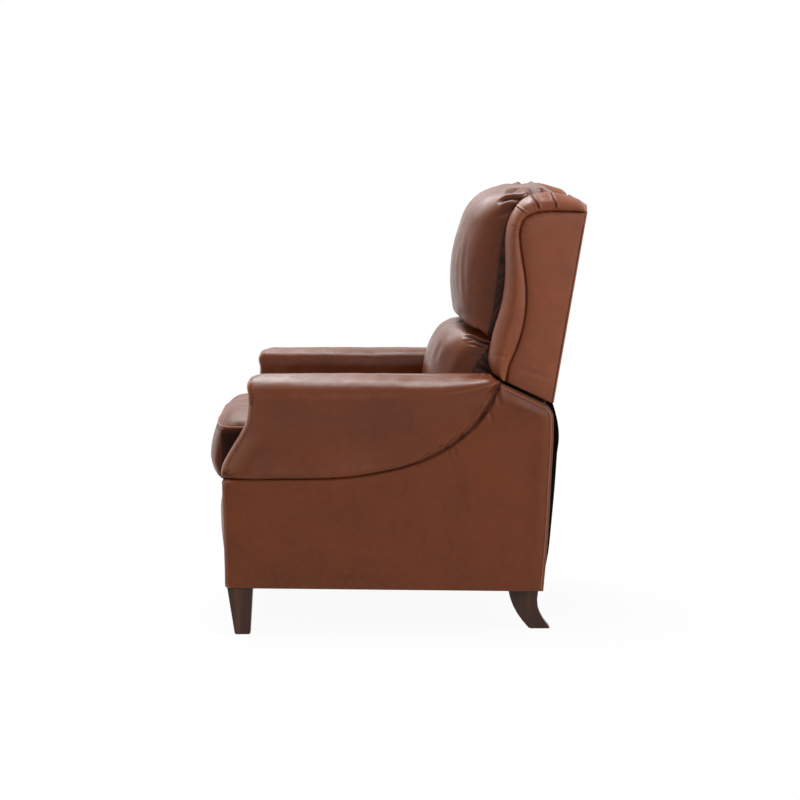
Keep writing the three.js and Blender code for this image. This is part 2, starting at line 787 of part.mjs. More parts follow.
function buildSeat() {
  add("seat_cushion", seatCushion(), leather);
  addPairSolid("seat_plate", seatPlate(), steel);
  const lowZ = seatRailTopZ - seatRailHeight;
  const outerX = seatRailOuterX;
  const innerX = outerX - seatRailWidth;
  const frontEndY = seatFrontRailY + seatFrontRailDepth;
  const rearEndY = seatPlateRearY;
  addPair(
    "seat_side_rail",
    block(innerX, outerX, frontEndY + seatGap, rearEndY, lowZ, seatRailTopZ),
    plywood,
  );
  add("seat_front_rail", block(-outerX, outerX, seatFrontRailY, frontEndY, lowZ, seatRailTopZ), plywood);
  const rearHalf = innerX - seatGap;
  const rearRail = block(-rearHalf, rearHalf, seatRearRailFrontY, rearEndY, lowZ, seatRailTopZ);
  add("seat_rear_rail", rearRail, plywood);
  const tubeHalf = seatPlateOuterX - plateThickness - seatGap;
  add("mechanism_cross_tube", rodAcross(spreaderTube, spreaderRadius, -tubeHalf, tubeHalf), steel);
  const springNames = ["seat_spring_1", "seat_spring_2", "seat_spring_3", "seat_spring_4"];
  springNames.forEach((name, i) => {
    const route = springRoute((i - (springNames.length - 1) / 2) * springSpacing);
    add(name, tubeAlong(route, springWireDiameter / 2, springSides), steel);
    if (i === 0) console.log(`least gap of a seat spring to itself: ${leastSelfGap(route).toFixed(2)} mm`);
  });
}

// Footrest linkage: a crank and a drive link hang from the seat plate side by side and carry the
// front swing link; the drive link's lower end carries the rear one, and both hold the pad bracket.

function crankLink() {
  const xHigh = crankOuterX;
  const xLow = xHigh - plateThickness;
  const [yA, zA] = crankPivot;
  const [yB, zB] = crankEnd;
  const bow = [(yA + yB) / 2 - linkHalfWidth / 2, (zA + zB) / 2 - linkHalfWidth / 2];
  const plate = barOf([[yA, zA], bow, [yB, zB]], linkHalfWidth, xLow, xHigh);
  const hingePin = headedPin([yA, zA], pinRadius, xHigh - plateThickness / 2, seatPlateOuterX + pivotGap);
  const endPin = rodAcross([yB, zB], pinRadius, xHigh - plateThickness / 2, swingOuterX);
  return joined(plate, hingePin, solidOf(endPin));
}

function driveLink() {
  const xHigh = driveOuterX;
  const xLow = xHigh - plateThickness;
  const route = [drivePivot, crossPivot, driveEnd];
  const plate = barOf(route, linkHalfWidth, xLow, xHigh);
  const hingePin = headedPin(route[0], pinRadius, xHigh - plateThickness / 2, seatPlateOuterX + pivotGap);
  const innerFaceX = swingOuterX - plateThickness - pivotGap;
  const pinStartX = xLow + plateThickness / 2;
  const swingPins = route.slice(1).map((point) => headedPin(point, pinRadius, pinStartX, innerFaceX));
  return joined(plate, hingePin, ...swingPins);
}

function swingPlate(route, snugPoints, slackPoints, extraHoles = []) {
  const plate = barOf(route, linkHalfWidth, swingOuterX - plateThickness, swingOuterX);
  return cut(
    plate,
    ...snugPoints.map((point) => hole(point, pinRadius + pivotGap)),
    ...slackPoints.map((point) => hole(point, pinRadius + openPivotSlack)),
    ...extraHoles,
  );
}

function frontSwingLink() {
  const route = [crossPivot, crankEnd, padPoint(bracketFrontPivot)];
  return swingPlate(route, [route[0], route[2]], [route[1]]);
}

function rearSwingLink() {
  const start = driveEnd;
  const end = padPoint(bracketRearPivot);
  const share = linkHoleEndDistance / Math.hypot(end[0] - start[0], end[1] - start[1]);
  const holePoint = [lerp(end[0], start[0], share), lerp(end[1], start[1], share)];
  return swingPlate([start, end], [start], [end], [hole(holePoint, linkHoleRadius)]);
}

function padBracket() {
  const xHigh = crankOuterX;
  const xLow = xHigh - plateThickness;
  const pivots = [bracketFrontPivot, bracketRearPivot, flipperPivot].map(padPoint);
  const plate = barOf(pivots, linkHalfWidth + pivotGap, xLow, xHigh);
  const boardBackY = padTopY + padThickness + padBoardThickness + seatGap;
  const flangeTopZ = padTopZ - bracketFlangeDistance;
  const flange = block(
    xHigh - bracketFlangeWidth,
    xHigh,
    boardBackY,
    boardBackY + plateThickness,
    flangeTopZ - bracketFlangeLength,
    flangeTopZ,
  );
  const middleX = (xLow + xHigh) / 2;
  const swingPins = pivots.slice(0, 2);
  const pins = swingPins.map((point) => headedPin(point, pinRadius, middleX, swingOuterX + pivotGap));
  const flipperPin = headedPin(pivots[2], pinRadius, middleX, flipperArmOuterX - plateThickness - pivotGap);
  return joined(plate, solidOf(flange), ...pins, flipperPin);
}

function flipperArm() {
  const xHigh = flipperArmOuterX;
  const xLow = xHigh - plateThickness;
  const boardBackOut = flipperTopOut - flipperThickness - flipperBoardThickness - seatGap;
  const lineOut = boardBackOut - plateThickness;
  const reach = flipperDistance - flipperPivot.along;
  const route = [
    flipperPivot,
    { along: flipperPivot.along + reach / 3, out: flipperPivot.out - plateThickness },
    { along: flipperDistance, out: lineOut },
    { along: flipperDistance + flipperFlangeLength + flipperArmHalfWidth, out: lineOut },
  ].map(flipperPoint);
  const plate = barOf(route, flipperArmHalfWidth, xLow, xHigh);
  const flangeAlong = flipperDistance + flipperArmHalfWidth;
  const [flangeLowY, flangeHighZ] = flipperPoint({ along: flangeAlong, out: boardBackOut });
  const flangeLengthZ = flangeHighZ + flipperFlangeLength;
  const flange = block(
    xHigh - bracketFlangeWidth,
    xHigh,
    flangeLowY - plateThickness,
    flangeLowY,
    flangeHighZ,
    flangeLengthZ,
  );
  return cut(joined(plate, solidOf(flange)), hole(route[0], pinRadius + pivotGap));
}

// A footrest pad, from its board side out to its crowned face.
function padForm({ pointOf, start, length, topOut, thickness, crown, halfWidth, drawIn }) {
  const place = (along, share, swell) =>
    pointOf({ along: start + along * length, out: topOut - thickness * (1 - share) + swell * crown });
  const backChain = [[0.03, 0.3], [0.05, 0.04], [0.1, 0], [0.5, 0], [0.9, 0], [0.95, 0.04], [0.97, 0.3]];
  const faceChain = [[0, 0.5], [0.02, 0.85], [0.08, 1], [0.5, 1], [0.92, 1], [0.98, 0.85], [1, 0.5]];
  const swellAlong = (along) => Math.sin(Math.PI * along) ** 0.7;
  const back = backChain.map(([along, share]) => place(along, share, 0));
  const face = faceChain.map(([along, share]) => place(along, share, swellAlong(along)));
  const sideFace = faceChain.map(([along, share]) => place(along, share * 0.85, 0));
  const middle = [back, face];
  const side = [back, sideFace];
  return softForm({ halfWidth, drawIn, middle, side, samples: 12, ringCount: 13 });
}

function buildFootrest() {
  addPairSolid("crank_link", crankLink(), steel);
  addPairSolid("drive_link", driveLink(), steel);
  addPairSolid("front_swing_link", frontSwingLink(), steel);
  addPairSolid("rear_swing_link", rearSwingLink(), steel);
  addPairSolid("footrest_bracket", padBracket(), steel);
  addPairSolid("flipper_arm", flipperArm(), steel);
  const boardFrontY = padTopY + padThickness;
  add(
    "footrest_board",
    block(
      -padBoardHalfWidth,
      padBoardHalfWidth,
      boardFrontY,
      boardFrontY + padBoardThickness,
      padTopZ - padLength + padBoardInset,
      padTopZ - padBoardInset,
    ),
    plywood,
  );
  add(
    "footrest_pad",
    padForm({
      pointOf: padPoint,
      start: 0,
      length: padLength,
      topOut: 0,
      thickness: padThickness - seatGap,
      crown: padCrownHeight,
      halfWidth: padHalfWidth,
      drawIn: padDrawInDepth,
    }),
    leather,
  );
  const padBackOut = flipperTopOut - flipperThickness;
  const [boardLowY, boardTopZ] = flipperPoint({
    along: flipperDistance + flipperLength - flipperBoardInset,
    out: padBackOut - flipperBoardThickness,
  });
  const boardAlong = flipperDistance + flipperBoardInset;
  const [boardHighY, boardLowZ] = flipperPoint({ along: boardAlong, out: padBackOut });
  add(
    "flipper_board",
    block(-flipperBoardHalfWidth, flipperBoardHalfWidth, boardLowY, boardHighY, boardLowZ, boardTopZ),
    plywood,
  );
  add(
    "flipper_pad",
    padForm({
      pointOf: flipperPoint,
      start: flipperDistance,
      length: flipperLength,
      topOut: flipperTopOut,
      thickness: flipperThickness - seatGap,
      crown: flipperCrownHeight,
      halfWidth: flipperHalfWidth,
      drawIn: padDrawInDepth,
    }),
    leather,
  );
}

// Back

function rakedOutline(heightLow, heightHigh, depthLow, depthHigh) {
  return [
    backPoint(heightLow, depthHigh),
    backPoint(heightLow, depthLow),
    backPoint(heightHigh, depthLow),
    backPoint(heightHigh, depthHigh),
  ];
}

const woodDepth = backPanelThickness + seatGap;
const foamDepth = woodDepth + postDepth + seatGap;

function wing() {
  const roll = fromShares(wingRollShares, wingFrontY, wingBottomZ, wingDepth, wingHeight);
  const rearTop = backPoint(backPanelHeight - seatGap, woodDepth);
  const outline = [...roll, rearTop, backPoint(backPanelFootHeight, woodDepth)];
  return slab(outline.toReversed(), wingInnerX, backHalfWidth, wingEdgeRadius);
}

function backBracket() {
  const xHigh = backBracketOuterX;
  const xLow = xHigh - plateThickness;
  const postMiddle = woodDepth + postDepth / 2;
  const postFoot = backPoint(backPanelFootHeight, postMiddle);
  const route = [backPivot, postFoot, backPoint(postLength / 4, postMiddle)];
  const plate = barOf(route, 2 * pinHeadRadius, xLow, xHigh);
  return cut(plate, hole(route[0], pivotBossRadius + pivotGap));
}

function carrierBracket() {
  const xHigh = carrierOuterX;
  const plate = barOf([backPivot, carrierTube], 2 * pinHeadRadius, xHigh - plateThickness, xHigh);
  return cut(plate, hole(backPivot, pivotBossRadius + pivotGap));
}

function headPillow() {
  const area = (shares) => fromShares(shares, pillowFrontY, pillowBottomZ, pillowDepth, pillowHeight);
  const postTop = postFootHeight + postLength;
  const rear = [
    ...area(pillowRearStartShares),
    backPoint(postTop - 0.5 * pillowHeight - cushionJoinGap, foamDepth),
    backPoint(postTop, foamDepth),
    backPoint(postTop + cushionJoinGap, foamDepth - postDepth / 2),
    backPoint(postTop + cushionJoinGap, woodDepth + seatGap),
    backPoint(backPanelHeight - cushionJoinGap, woodDepth + seatGap),
  ];
  return straightRear({
    halfWidth: cushionHalfWidth,
    drawIn: pillowDrawInDepth,
    front: area(pillowFrontMiddleShares),
    sideFront: area(pillowFrontSideShares),
    rear,
  });
}

// A soft form whose rear follows straight lines and whose front swells to the middle.
function straightRear({ halfWidth, drawIn, front, sideFront, rear }) {
  const samples = 18;
  const chains = [smoothChain(front, samples), smoothChain(sideFront, samples), evenly(rear, samples)];
  const ringCount = 17;
  const rings = [];
  for (let r = 0; r < ringCount; r++) {
    const across = Math.sin((r / (ringCount - 1) - 0.5) * Math.PI);
    const swell = Math.sqrt(1 - Math.abs(across) ** 4);
    const x = (k) => across * (halfWidth - drawIn * Math.sin((Math.PI * k) / (samples - 1)));
    const out = chains[0].map(([y, z], k) => {
      const [ySide, zSide] = chains[1][k];
      return [x(k), lerp(ySide, y, swell), lerp(zSide, z, swell)];
    });
    const back = chains[2].map(([y, z], k) => [x(k), y, z]).toReversed();
    rings.push([...out, ...back]);
  }
  return loft(rings);
}

// Points spread evenly along straight lines, with every corner kept.
function evenly(points, count) {
  const spans = points.slice(1).map(([y, z], i) => Math.hypot(y - points[i][0], z - points[i][1]));
  const total = spans.reduce((a, b) => a + b);
  const spare = count - points.length;
  const shares = spans.map((span) => (span / total) * spare);
  const extra = shares.map(Math.floor);
  const order = shares.map((s, i) => i).sort((a, b) => shares[b] - extra[b] - (shares[a] - extra[a]));
  for (let i = 0; extra.reduce((a, b) => a + b) < spare; i++) extra[order[i]] += 1;
  const spread = [points[0]];
  points.slice(1).forEach(([y, z], i) => {
    for (let k = 1; k <= extra[i] + 1; k++) {
      const share = k / (extra[i] + 1);
      spread.push([lerp(points[i][0], y, share), lerp(points[i][1], z, share)]);
    }
  });
  return spread;
}

function lumbarCushion() {
  const area = (shares) => fromShares(shares, lumbarFrontY, lumbarBottomZ, lumbarDepth, lumbarHeight);
  const front = area(lumbarFrontMiddleShares);
  const topZ = pillowBottomZ - cushionJoinGap;
  const rear = [
    ...area(lumbarRearStartShares),
    backPoint(postFootHeight + postDepth / 2, foamDepth),
    backPoint(lumbarHeight * lumbarRearTopShare, foamDepth),
    [front[front.length - 1][0] + lumbarDepth / 5, topZ],
  ];
  return straightRear({
    halfWidth: cushionHalfWidth,
    drawIn: lumbarDrawInDepth,
    front,
    sideFront: area(lumbarFrontSideShares),
    rear,
  });
}

function buildBack() {
  addPair("wing", wing(), leather);
  addPairSolid("back_bracket", backBracket(), steel);
  addPairSolid("carrier_bracket", carrierBracket(), steel);
  const tubeHalf = carrierOuterX - plateThickness - seatGap;
  add("carrier_cross_tube", rodAcross(carrierTube, carrierTubeRadius, -tubeHalf, tubeHalf), steel);
  const panel = rakedOutline(backPanelFootHeight, backPanelHeight, 0, backPanelThickness);
  add("outside_back", slab(panel, -backHalfWidth, backHalfWidth, backPanelThickness / 4), leather);
  const post = rakedOutline(postFootHeight, postFootHeight + postLength, woodDepth, woodDepth + postDepth);
  addPair("back_post", slab(post, postOuterX - postWidth, postOuterX), plywood);
  const railHalf = postOuterX - postWidth - seatGap;
  const topRailHeight = postFootHeight + postLength - backRailHeight;
  const railStarts = { back_lower_rail: postFootHeight, back_top_rail: topRailHeight };
  for (const [name, start] of Object.entries(railStarts)) {
    const outline = rakedOutline(start, start + backRailHeight, woodDepth, woodDepth + backRailDepth);
    add(name, slab(outline, -railHalf, railHalf), plywood);
  }
  add("head_pillow", headPillow(), leather);
  add("lumbar_cushion", lumbarCushion(), leather);
  const bottomY = flapLowerTopY - flapThickness - backPanelThickness;
  const flapTop = backPoint(backPanelFootHeight - seatGap, 0);
  const flapOuter = [
    flapTop,
    [backFootY + flapBulgeDepth * 0.7, flapTop[1] - flapBulgeDepth],
    [backFootY + flapBulgeDepth, lerp(flapTop[1], flapUpperBottomZ, 0.35)],
    [bottomY + flapThickness, flapUpperBottomZ],
  ];
  const flapInner = flapOuter.toReversed().map(([y, z]) => [y - flapThickness, z]);
  const flapOutline = [...flapOuter, ...flapInner].toReversed();
  add("rear_flap_upper", slab(flapOutline, -backHalfWidth, backHalfWidth), lining);
}

buildBase();
buildSeat();
buildFootrest();
buildBack();

export default chair;
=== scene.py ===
import math
import bmesh
import bpy
import numpy as np
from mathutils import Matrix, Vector
from mathutils.kdtree import KDTree


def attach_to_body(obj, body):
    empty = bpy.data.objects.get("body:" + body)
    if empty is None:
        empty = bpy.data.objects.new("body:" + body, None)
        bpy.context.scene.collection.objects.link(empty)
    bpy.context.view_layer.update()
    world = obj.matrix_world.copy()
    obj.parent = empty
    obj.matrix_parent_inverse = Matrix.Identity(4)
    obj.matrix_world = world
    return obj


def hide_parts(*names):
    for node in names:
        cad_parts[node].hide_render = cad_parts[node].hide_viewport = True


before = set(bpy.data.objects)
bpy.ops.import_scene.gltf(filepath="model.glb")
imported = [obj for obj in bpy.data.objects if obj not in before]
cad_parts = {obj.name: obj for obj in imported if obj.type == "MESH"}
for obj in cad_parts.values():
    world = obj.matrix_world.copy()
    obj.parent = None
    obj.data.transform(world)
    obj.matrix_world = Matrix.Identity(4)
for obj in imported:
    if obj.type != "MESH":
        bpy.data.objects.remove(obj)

scene = bpy.context.scene
scene.view_settings.view_transform = "Standard"
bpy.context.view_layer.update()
mm = 0.001
print("frame loaded:", len(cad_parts), "nodes")


# camera, floor and light

camera = {"place": (6.6033, -0.0437, 1.285), "down": 6.692, "turn": 0.5, "lens": 121.9}


def addCamera():
    data = bpy.data.cameras.new("camera")
    data.lens = camera["lens"]
    data.sensor_width = 36
    data.clip_end = 60
    view = bpy.data.objects.new("camera", data)
    scene.collection.objects.link(view)
    down, turn = math.radians(camera["down"]), math.radians(camera["turn"])
    forward = Vector((-math.cos(down) * math.cos(turn), math.cos(down) * math.sin(turn), -math.sin(down)))
    view.rotation_euler = forward.to_track_quat("-Z", "Y").to_euler()
    view.location = camera["place"]
    scene.camera = view


# shader helpers

class Wire:
    # a value, colour or vector on its way through the nodes
    def __init__(self, recipe, socket):
        self.recipe, self.socket = recipe, socket

    def maths(self, operation, first, second):
        return self.recipe.node("ShaderNodeMath", {"operation": operation}, {0: first, 1: second})

    def __add__(self, other): return self.maths("ADD", self, other)
    def __radd__(self, other): return self.maths("ADD", other, self)
    def __sub__(self, other): return self.maths("SUBTRACT", self, other)
    def __rsub__(self, other): return self.maths("SUBTRACT", other, self)
    def __mul__(self, other): return self.maths("MULTIPLY", self, other)
    def __rmul__(self, other): return self.maths("MULTIPLY", other, self)
    def __truediv__(self, other): return self.maths("DIVIDE", self, other)
    def __pow__(self, other): return self.maths("POWER", self, other)


class Recipe:
    # one node tree: a material's, or the world's
    def __init__(self, owner):
        owner.use_nodes = True
        self.tree = owner.node_tree
        self.tree.nodes.clear()

    def node(self, kind, settings=None, sockets=None, output=0):
        made = self.tree.nodes.new(kind)
        for key, value in (settings or {}).items():
            setattr(made, key, value)
        for key, value in (sockets or {}).items():
            if isinstance(value, Wire):
                self.tree.links.new(value.socket, made.inputs[key])
            else:
                made.inputs[key].default_value = value
        return Wire(self, made.outputs[output]) if made.outputs else None

    def mix(self, factor, first, second):
        return self.node("ShaderNodeMix", {"data_type": "RGBA"}, {0: factor, 6: first, 7: second}, output=2)

    def between(self, value, low, high, start=0.0, end=1.0):
        return self.node("ShaderNodeMapRange", {}, {0: value, 1: low, 2: high, 3: start, 4: end})


def colour(red, green, blue):
    # a colour as it is read off a screen, 0 to 255, in linear light
    return tuple((c / 255 / 12.92 if c / 255 <= 0.04045 else ((c / 255 + 0.055) / 1.055) ** 2.4)
                 for c in (red, green, blue)) + (1.0,)


# materials

def startFinish(name):
    made = bpy.data.materials.new(name)
    r = Recipe(made)
    return made, r, r.node("ShaderNodeTexCoord", output=3)


def addBump(r, height, strength, distance):
    return r.node("ShaderNodeBump", {}, {"Strength": strength, "Distance": distance, "Height": height})


def addSurface(r, sockets):
    shader = r.node("ShaderNodeBsdfPrincipled", {}, sockets)
    r.node("ShaderNodeOutputMaterial", {}, {0: shader})


# the leather's tones: its base, a lighter one for wear and painted highlight, and a near-black one for painted
# shade in seams, folds and gaps
leatherLook = {
    "base": (100, 46, 16), "wearAndHighlightTone": (152, 106, 84), "paintedShadeTone": (30, 9, 5),
    "cloudy": 9.0, "mottled": 55.0, "pebble": 620.0, "rough": 0.33, "grain": 0.18, "gloss": 0.22,
}


def makeLeather(name, tone=1.0, rough=0.0, gloss=1.0):
    look = leatherLook
    made, r, place = startFinish(name)
    cloudy = r.node("ShaderNodeTexNoise", {}, {"Vector": place, "Scale": look["cloudy"], "Detail": 3.0})
    mottled = r.node("ShaderNodeTexNoise", {}, {"Vector": place, "Scale": look["mottled"], "Detail": 5.0,
                                               "Roughness": 0.65})
    crease = r.node("ShaderNodeAttribute", {"attribute_name": "crease"}, output=2)
    worn = r.node("ShaderNodeAttribute", {"attribute_name": "worn"}, output=2)
    base = colour(*[c * tone for c in look["base"]])
    pale = colour(*[c * tone * 1.10 for c in look["base"]])
    dark = colour(*[c * tone * 0.88 for c in look["base"]])
    skin = r.mix(r.between(cloudy, 0.3, 0.7), dark, base)
    skin = r.mix(r.between(mottled, 0.45, 0.75, 0.0, 0.55), skin, pale)
    # lighter where the leather is worn and where a highlight is painted
    skin = r.mix(r.between(worn, 0.0, 1.0, 0.0, 0.75), skin, colour(*[c * tone for c in look["wearAndHighlightTone"]]))
    # painted shade: seams, folds and gaps are darkened towards the near-black tone
    skin = r.mix(r.between(crease, 0.05, 0.9, 0.0, 0.97), skin, colour(*look["paintedShadeTone"]))
    cells = r.node("ShaderNodeTexVoronoi", {"feature": "SMOOTH_F1"},
                   {"Vector": place, "Scale": look["pebble"], "Smoothness": 0.6})
    pores = r.node("ShaderNodeTexNoise", {}, {"Vector": place, "Scale": 260.0, "Detail": 4.0, "Roughness": 0.6})
    height = cells * 0.6 + pores * 0.5
    bump = addBump(r, height, look["grain"], 0.0009)
    ease = r.node("ShaderNodeTexNoise", {}, {"Vector": place, "Scale": 22.0, "Detail": 2.0})
    rough = r.between(ease, 0.3, 0.7, look["rough"] + rough - 0.05, look["rough"] + rough + 0.06)
    shine = r.between(cells, 0.0, 0.6, -0.03, 0.05)
    addSurface(r, {"Base Color": skin, "Roughness": rough + shine + crease * 0.42, "Normal": bump,
                   "Specular IOR Level": look["gloss"] * gloss})
    return made


def makeThread(name, shade):
    made, r, place = startFinish(name)
    twist = r.node("ShaderNodeTexNoise", {}, {"Vector": place, "Scale": 900.0, "Detail": 2.0})
    tint = r.mix(r.between(twist, 0.3, 0.7), colour(*[c * 0.8 for c in shade]), colour(*shade))
    bump = addBump(r, twist, 0.4, 0.0004)
    addSurface(r, {"Base Color": tint, "Roughness": 0.55, "Normal": bump, "Specular IOR Level": 0.2})
    return made


walnutLook = {"light": (80, 48, 33), "mid": (60, 35, 24), "dark": (34, 19, 13), "rough": 0.36}


def makeWalnut(name):
    look = walnutLook
    made, r, place = startFinish(name)
    along = r.node("ShaderNodeMapping", {}, {"Vector": place, "Scale": (9.0, 9.0, 1.1)})
    wander = r.node("ShaderNodeTexNoise", {}, {"Vector": along, "Scale": 3.0, "Detail": 3.0, "Distortion": 0.8})
    rings = r.node("ShaderNodeTexWave", {"wave_type": "BANDS", "bands_direction": "X"},
                   {"Vector": along, "Scale": 2.2, "Distortion": 5.5, "Detail": 3.0, "Detail Scale": 1.4})
    fibre = r.node("ShaderNodeMapping", {}, {"Vector": place, "Scale": (900.0, 900.0, 40.0)})
    pores = r.node("ShaderNodeTexNoise", {}, {"Vector": fibre, "Scale": 1.0, "Detail": 2.0})
    wood = r.mix(r.between(rings, 0.15, 0.85), colour(*look["mid"]), colour(*look["light"]))
    wood = r.mix(r.between(wander, 0.35, 0.75, 0.0, 0.6), wood, colour(*look["dark"]))
    wood = r.mix(r.between(pores, 0.58, 0.74, 0.0, 0.55), wood, colour(*look["dark"]))
    height = rings * 0.3 + pores * 0.7
    bump = addBump(r, height, 0.12, 0.0005)
    rough = r.between(wander, 0.3, 0.7, look["rough"] - 0.05, look["rough"] + 0.08)
    addSurface(r, {"Base Color": wood, "Roughness": rough, "Normal": bump, "Specular IOR Level": 0.25})
    return made


def makePlywood(name):
    made, r, place = startFinish(name)
    long = r.node("ShaderNodeMapping", {}, {"Vector": place, "Scale": (14.0, 2.0, 14.0)})
    figure = r.node("ShaderNodeTexNoise", {}, {"Vector": long, "Scale": 2.5, "Detail": 6.0, "Roughness": 0.6,
                                              "Distortion": 1.2})
    plies = r.node("ShaderNodeTexWave", {"bands_direction": "X"}, {"Vector": place, "Scale": 95.0,
                                                                  "Distortion": 0.6})
    wood = r.mix(r.between(figure, 0.3, 0.7), colour(166, 133, 95), colour(201, 172, 132))
    wood = r.mix(r.between(plies, 0.5, 1.0, 0.0, 0.16), wood, colour(120, 88, 58))
    bump = addBump(r, figure, 0.15, 0.0006)
    rough = r.between(figure, 0.3, 0.7, 0.55, 0.72)
    addSurface(r, {"Base Color": wood, "Roughness": rough, "Normal": bump})
    return made


def makeSteel(name, shade=1.0):
    made, r, place = startFinish(name)
    stain = r.node("ShaderNodeTexNoise", {}, {"Vector": place, "Scale": 26.0, "Detail": 4.0})
    speck = r.node("ShaderNodeTexNoise", {}, {"Vector": place, "Scale": 420.0, "Detail": 3.0})
    tint = r.mix(r.between(stain, 0.3, 0.7), colour(*[c * shade for c in (112, 114, 116)]),
                 colour(*[c * shade for c in (150, 151, 152)]))
    tint = r.mix(r.between(speck, 0.62, 0.78, 0.0, 0.5), tint, colour(*[84 * shade] * 3))
    rough = r.between(stain, 0.3, 0.7, 0.30, 0.46)
    bump = addBump(r, speck, 0.08, 0.0004)
    addSurface(r, {"Base Color": tint, "Roughness": rough, "Normal": bump, "Metallic": 0.85})
    return made


def makeLining(name):
    made, r, place = startFinish(name)
    fuzz = r.node("ShaderNodeTexNoise", {}, {"Vector": place, "Scale": 700.0, "Detail": 3.0, "Roughness": 0.7})
    dots = r.node("ShaderNodeTexVoronoi", {}, {"Vector": place, "Scale": 330.0})
    tint = r.mix(r.between(fuzz, 0.3, 0.7), colour(10, 9, 9), colour(24, 22, 22))
    height = fuzz * 0.7 + dots * 0.5
    bump = addBump(r, height, 0.35, 0.0006)
    rough = r.between(fuzz, 0.3, 0.7, 0.8, 0.95)
    addSurface(r, {"Base Color": tint, "Roughness": rough, "Normal": bump, "Specular IOR Level": 0.05})
    return made


studio = {"floorSize": 40.0, "roomLight": 0.14, "floorGlow": 0.94}


def addStudio():
    world = bpy.data.worlds.new("studio")
    scene.world = world
    r = Recipe(world)
    ray = r.node("ShaderNodeLightPath")
    sees = ray.socket.node.outputs
    bright = (Wire(r, sees["Is Camera Ray"]) + Wire(r, sees["Is Glossy Ray"])
              + Wire(r, sees["Is Transmission Ray"]))
    bright = r.node("ShaderNodeMath", {"operation": "MINIMUM"}, {0: bright, 1: 1.0})
    strength = bright * (1.0 - studio["roomLight"]) + studio["roomLight"]
    back = r.node("ShaderNodeBackground", {}, {"Color": (1, 1, 1, 1), "Strength": strength})
    r.node("ShaderNodeOutputWorld", {}, {0: back})

    size = studio["floorSize"] / 2
    mesh = bpy.data.meshes.new("floor")
    mesh.from_pydata([(-size, -size, 0), (size, -size, 0), (size, size, 0), (-size, size, 0)], [], [(0, 1, 2, 3)])
    floor = bpy.data.objects.new("floor", mesh)
    scene.collection.objects.link(floor)
    paint = bpy.data.materials.new("floor paint")
    r = Recipe(paint)
    ray = r.node("ShaderNodeLightPath")
    sees = ray.socket.node.outputs
    seen = Wire(r, sees["Is Camera Ray"]) + Wire(r, sees["Is Glossy Ray"])
    seen = r.node("ShaderNodeMath", {"operation": "MINIMUM"}, {0: seen, 1: 1.0})
    place = r.node("ShaderNodeTexCoord", output=3)
    away = r.node("ShaderNodeVectorMath", {"operation": "LENGTH"}, {0: place}, output=1)
    glow = r.between(away, 0.35, 1.3, studio["floorGlow"], 1.0)
    matt = r.node("ShaderNodeBsdfDiffuse", {}, {"Color": colour(250, 250, 250)})
    lit = r.node("ShaderNodeEmission", {}, {"Color": (1, 1, 1, 1), "Strength": 1.0})
    both = r.node("ShaderNodeMixShader", {}, {0: seen * glow, 1: matt, 2: lit})
    r.node("ShaderNodeOutputMaterial", {}, {0: both})
    mesh.materials.append(paint)


lamps = {
    "overhead": {"at": (-0.35, -0.3, 3.1), "size": (0.6, 2.6), "power": 76, "aim": (0.05, -0.1, 0.7)},
    "front": {"at": (0.1, -3.4, 1.6), "size": (2.6, 1.8), "power": 38, "aim": (0, 0, 0.7), "gloss": False},
    "rear": {"at": (1.4, 2.9, 1.6), "size": (0.9, 1.8), "power": 42, "aim": (0.2, 0.2, 0.7)},
    "side": {"at": (2.9, 2.0, 1.5), "size": (1.6, 1.6), "power": 27, "aim": (0.3, 0.2, 0.8)},
    "tall": {"at": (4.6, 1.0, 2.0), "size": (1.4, 1.4), "power": 24, "aim": (0.3, 0.2, 0.8)},
    "far": {"at": (-1.7, -0.9, 2.6), "size": (1.8, 2.0), "power": 34, "aim": (0, -0.1, 0.7)},
}


def addLamps():
    for name, lamp in lamps.items():
        data = bpy.data.lights.new(name, "AREA")
        data.shape = "RECTANGLE"
        data.size, data.size_y = lamp["size"]
        data.energy = lamp["power"]
        light = bpy.data.objects.new(name, data)
        light.location = lamp["at"]
        aim = Vector(lamp["aim"]) - Vector(lamp["at"])
        light.rotation_euler = aim.to_track_quat("-Z", "Y").to_euler()
        light.visible_camera = False
        light.visible_glossy = lamp.get("gloss", True)
        scene.collection.objects.link(light)


addCamera()
addStudio()
addLamps()
print("camera, floor and lamps placed")

leather = makeLeather("chestnut leather")
# a lighter copy of the chestnut leather for the wings, painted lighter to stand in for the stronger light that
# falls on them
leatherRollLit = makeLeather("roll leather", tone=1.14, gloss=1.35)
leatherArm = makeLeather("arm leather", rough=-0.07, gloss=1.15)
leatherSeat = makeLeather("seat leather", tone=0.98, gloss=0.8)
leatherSoft = makeLeather("cushion leather", tone=0.97, rough=-0.04, gloss=1.2)
leatherCord = makeLeather("piping leather", tone=1.10, rough=0.03)
thread = makeThread("brown thread", (120, 78, 56))
walnut = makeWalnut("dark walnut")
plywood = makePlywood("birch plywood")
steel = makeSteel("zinc steel")
gapShadeSteel = makeSteel("black steel", 0.32)
lining = makeLining("black lining")

finishes = {"leather": leather, "walnut": walnut, "plywood": plywood, "steel": steel, "lining": lining}
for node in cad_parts.values():
    for place in node.material_slots:
        place.material = finishes[place.material.name.split(".")[0]]
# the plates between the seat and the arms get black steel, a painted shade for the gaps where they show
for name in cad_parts:
    if name.split("_", 1)[1] in ("base_plate", "back_bracket", "carrier_bracket", "seat_plate"):
        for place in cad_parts[name].material_slots:
            place.material = gapShadeSteel
print("finishes on the frame's nodes")


# curves and surfaces, in millimetres

